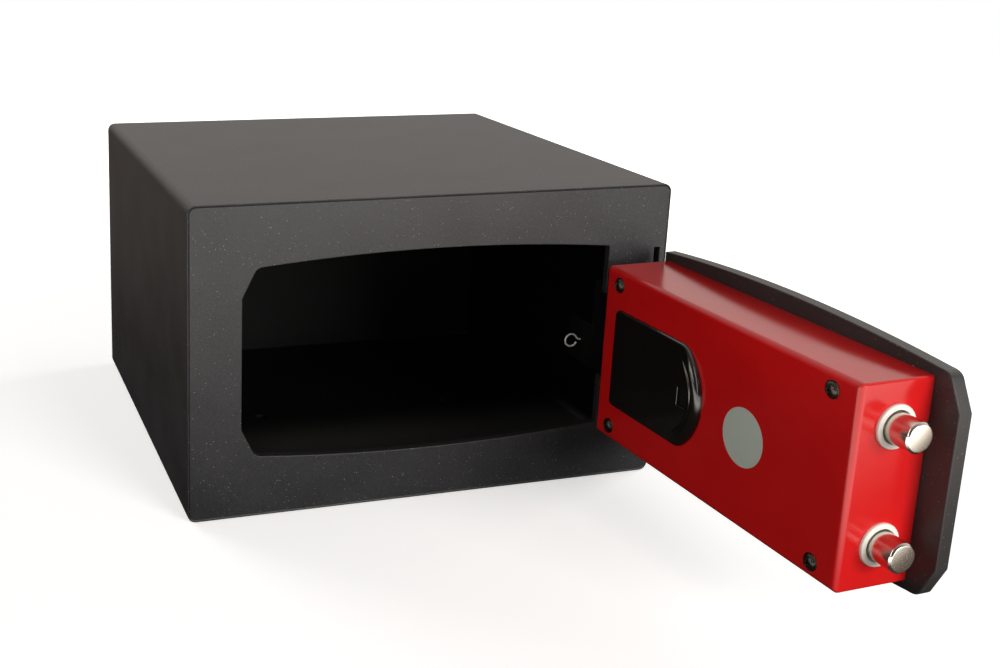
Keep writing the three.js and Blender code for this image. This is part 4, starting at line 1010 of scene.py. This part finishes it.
def printed_figure(name, text, x, z, size, depth, body):
    """The built-in letterform of a figure as a thin solid, its width along the door and its height upright:
    (u, v, w) on the letterform goes to (x + u, depth - w, z + v)."""
    curve = bpy.data.curves.new(name, "FONT")
    curve.body = text
    curve.size = size
    curve.align_x = "CENTER"
    curve.extrude = 0.06
    curve.resolution_u = 6
    holder = bpy.data.objects.new(name, curve)
    shape = bpy.data.meshes.new_from_object(holder)
    points = np.empty(len(shape.vertices) * 3)
    shape.vertices.foreach_get("co", points)
    u, v, w = points.reshape(-1, 3).T
    placed = np.stack([x + u - (u.min() + u.max()) / 2, depth - w, z + v - (v.min() + v.max()) / 2], 1)
    faces = [list(face.vertices) for face in shape.polygons]
    bpy.data.objects.remove(holder)
    bpy.data.curves.remove(curve)
    bpy.data.meshes.remove(shape)
    door_piece(name, [(placed, faces)], PRINT_WHITE, (), body, 30)


for number, ((key_x, key_z), figure) in enumerate(zip(KEY_PLACES, "123456789*0#"), 1):
    key_cap(number, key_x, key_z)
    printed_figure(f"key_figure_{number}", figure, key_x, key_z, 8.4, KEY_FACE + 0.2, f"key_{number}")


# Knob: a black moulded disc with a fluted rim and a finger bar across it, a white pointer on the bar, and
# under it a bright nickel rosette. It turns the crank behind the door plate by a square spindle.
KNOB_PLASTIC = plastic_material("knob_plastic", linear(24, 24, 25), linear(32, 32, 33), 0.36, 0.1, 1300.0)
BRIGHT_TRIM = metal_material(
    "bright_trim", linear(196, 192, 186), linear(216, 212, 206), 0.13, 0.2, 1.0, 1600.0)


def knob():
    """The disc is a profile turned about the spindle, its rim drawn in by 0.35 (1 - cos 30 a) / 2 to make
    thirty flutes. The bar is a rounded rectangle carried outwards, flared at its foot by
    1.8 (1 - sin b) and rounded at its end by 2.4 (1 - cos b)."""
    foot, end = -8.1, -25.9
    profile = np.array([
        [0, -3.1], [17.9, -3.1], [18.7, -3.4], [19.0, -4.0], [19.0, -5.2], [18.95, -6.4], [18.6, -7.3],
        [17.9, -7.9], [17.0, -8.1], [15.5, -8.2], [0, -8.3],
    ])
    a = np.linspace(0, 2 * np.pi, 360, endpoint=False)
    flute = np.clip((profile[:, :1] - 17.5) / 0.8, 0, 1) * 0.35 * (1 - np.cos(30 * a)) / 2
    r = profile[:, :1] - flute
    disc = np.stack([KNOB_X + r * np.cos(a), profile[:, 1:] + 0 * a, MID_HEIGHT + r * np.sin(a)], -1)
    rings = [(-d, foot - y) for d, y in rounding(1.8, 8)] + [(0.25, -16.0), (0.4, end + 2.4)]
    rings += [(0.4 + d, end + y) for d, y in rounding(2.4, 8)[-2::-1]]
    grip = carried(box_round(KNOB_X, MID_HEIGHT, 12.0, 31.6, 5.0, 14), rings)
    parts = [net(disc), net(grip), face_at(foot, grip[0]), face_at(end, grip[-1])]
    door_piece("knob_moulding", parts, KNOB_PLASTIC, ("knob",), "knob", 35)
    mark = box_round(KNOB_X, MID_HEIGHT + 7.6, 1.5, 8.4, 0.7)
    pointer = pressed_plate(mark, [], end - 0.14, end + 0.1, 0.06, 3)
    door_piece("knob_pointer", pointer, PRINT_WHITE, (), "knob", 38)
    rosette = [
        [4.6, -0.3], [24.0, -0.3], [24.0, -0.9], [23.75, -1.5], [23.1, -2.0], [22.2, -2.25], [21.0, -2.3],
        [20.4, -2.25], [20.1, -1.9], [19.8, -1.7], [4.6, -1.7], [4.6, -0.3],
    ]
    ring = turned_y(rosette, KNOB_X, MID_HEIGHT, 144)
    door_piece("rosette_ring", [ring], BRIGHT_TRIM, ("knob_rosette",))


knob()


# Override lock: a nickel-plated cam lock clamped through the door, with a round plug and an upright
# keyway, for opening by key when the cells are flat.
def override_lock():
    """The body is a profile turned about the plug; the plug's face is a disc with a slot through it, and
    the slot's outline is carried inwards to make the keyway."""
    sides, deep = 128, 22.0
    body = [
        [6.3, deep], [9.0, deep], [9.0, -0.3], [11.5, -0.3], [11.5, -1.1], [11.3, -1.6], [10.8, -2.05],
        [10.0, -2.28], [9.0, -2.3], [7.3, -2.3], [6.8, -2.15], [6.45, -1.8], [6.3, -1.4], [6.3, deep],
    ]
    barrel = turned_y(body, OVERRIDE_X, OVERRIDE_Z, sides)
    door_piece("override_barrel", [barrel], BRIGHT_TRIM, ("override_lock_body",))
    face, rim, round_in = -1.9, 5.55, 0.18
    bottom, slot = face + 12.0, box_round(OVERRIDE_X, OVERRIDE_Z, 1.4, 7.0, 0.35, 4)
    plug = [[rim, face], [5.85, face + 0.1], [6.0, face + 0.4], [6.0, deep], [0, deep]]
    parts = [
        turned_y(plug, OVERRIDE_X, OVERRIDE_Z, sides),
        face_at(face, circle(OVERRIDE_X, OVERRIDE_Z, rim, sides), inward(slot, -round_in)),
        net(carried(slot, [(-round_in, face), (0.0, face + round_in), (0.0, bottom)])),
        face_at(bottom, slot),
    ]
    made = door_piece("override_plug_face", parts, BRIGHT_TRIM, ("override_lock_plug",),
                      "override_plug")
    start, deeper = door_frame([[OVERRIDE_X, face, OVERRIDE_Z]])[0], door_way(0, 1, 0)

    def inside_keyway(p):
        depth = (p - start) @ deeper
        off_axis = np.linalg.norm(p - start - depth[:, None] * deeper, axis=1)
        return (depth > 0.0003) & (off_axis < 0.0045)

    # Painted shade: the keyway's walls and floor past 0.3 mm deep take the near-black primer, so the slot
    # reads as dark as shade would make it.
    paint(made, PRIMER_AND_PAINTED_LIGHT, inside_keyway)


override_lock()


# Cells and tray: four wrapped cells on spring and plate contacts in a black moulded tray with a cross
# wall. They show when the battery cover is lifted off.
CELL_WRAP = plastic_material("cell_wrap_dark", linear(34, 38, 44), linear(42, 46, 52), 0.24, 0.02, 300.0)
CELL_BAND = plastic_material("cell_wrap_band", linear(176, 120, 52), linear(190, 134, 62), 0.24, 0.02, 300.0)
CELL_DEPTH, CELL_RADIUS, CELL_PITCH, CELL_LEFT, CELL_RIGHT = 45.15, 7.25, 15.2, 45.4, 94.9


def dry_cell(number):
    """A profile turned about the cell's axis: the button, a crimped shoulder, the wrapped can and the flat
    negative end. The wrap's band covers the quarter next to the button."""
    z, r = MID_HEIGHT + (number - 2.5) * CELL_PITCH, CELL_RADIUS
    profile = [
        [0, CELL_LEFT - 1.0], [2.4, CELL_LEFT - 1.0], [2.75, CELL_LEFT - 0.8], [2.8, CELL_LEFT + 0.2],
        [5.6, CELL_LEFT + 0.25], [6.2, CELL_LEFT + 0.1], [6.8, CELL_LEFT], [r - 0.1, CELL_LEFT + 0.25],
        [r, CELL_LEFT + 0.7], [r, CELL_LEFT + 13.0], [r, CELL_RIGHT - 0.7], [r - 0.15, CELL_RIGHT - 0.2],
        [r - 0.6, CELL_RIGHT], [5.6, CELL_RIGHT], [5.3, CELL_RIGHT - 0.3], [0, CELL_RIGHT - 0.35],
    ]
    piece = door_piece(f"dry_cell_{number}", [turned_x(profile, CELL_DEPTH, z)], BRIGHT_TRIM,
                       (f"battery_cell_{number}",))
    along, start = door_way(1, 0, 0), door_frame([[CELL_LEFT, CELL_DEPTH, z]])[0]
    for wrap, low, high in ((CELL_WRAP, 0.012, 0.0491), (CELL_BAND, 0.0003, 0.012)):
        paint(piece, wrap, lambda p: ((p - start) @ along > low) & ((p - start) @ along < high))
    coil = np.linspace(0, 1, 120)
    turn, width = 2 * np.pi * 4.5 * coil, 4.6 - 1.8 * coil
    path = np.stack([99.6 - 4.2 * coil, CELL_DEPTH + width * np.cos(turn), z + width * np.sin(turn)], 1)
    spring = wire_tube(path, 0.35, 8, (1, 0, 0))
    door_piece(f"contact_spring_{number}", [spring], BRIGHT_TRIM, sharp=38)
    plate = pressed_plate(box_round(CELL_DEPTH, z, 11.0, 11.0, 0.8, 4), [], 43.65, 44.2, 0.1, 3)
    upright = [(points[:, [1, 0, 2]], faces) for points, faces in plate]
    door_piece(f"contact_plate_{number}", upright, BRIGHT_TRIM, sharp=38)


def cell_tray():
    """The tray's outline at each depth, rounded at its rim, with the same outline a wall further in, and
    a cross wall that carries the plate contacts."""
    left, right, half, wall, bottom, rim = 12.0, 101.6, 32.3, 1.6, 36.0, 56.3
    floor = bottom + wall
    outline = box_outline(left, right, MID_HEIGHT - half, MID_HEIGHT + half, 2.0, 6)
    rings = carried(outline, [
        (0.0, bottom), (0.0, rim - 0.5), (0.15, rim - 0.15), (0.5, rim), (wall - 0.5, rim),
        (wall - 0.15, rim - 0.15), (wall, rim - 0.5), (wall, floor)])
    parts = [net(rings), face_at(bottom, outline), face_at(floor, rings[-1])]
    door_piece("tray_moulding", parts, HOUSING_PLASTIC, ("battery_tray",))
    cross = box_outline(41.9, 43.4, MID_HEIGHT - half + wall, MID_HEIGHT + half - wall, 0.3, 3)
    cross_wall = pressed_plate(cross, [], floor, rim - 3.0, 0.2)
    door_piece("tray_cross_wall", cross_wall, HOUSING_PLASTIC)


cell_tray()
for cell_number in (1, 2, 3, 4):
    dry_cell(cell_number)


# Lock works under the cover: zinc-plated pressings and turned pins, a blackened solenoid with a bright
# plunger, and a circuit board with a green solder mask. The hinge pin is plated as they are.
SOLDER_MASK = plastic_material("solder_mask", linear(16, 70, 44), linear(24, 84, 54), 0.3, 0.1, 260.0)
refinish(SOLDER_MASK, "circuit_board")
refinish(BLACK_STEEL, "solenoid")
refinish(BRIGHT_TRIM, "solenoid_plunger")
refinish(ZINC, "hinge_pin", "upper_guide_post", "lower_guide_post", "lock_base", "bolt_carrier", "crank_disc",
         "knob_spindle", "override_lock_cam")
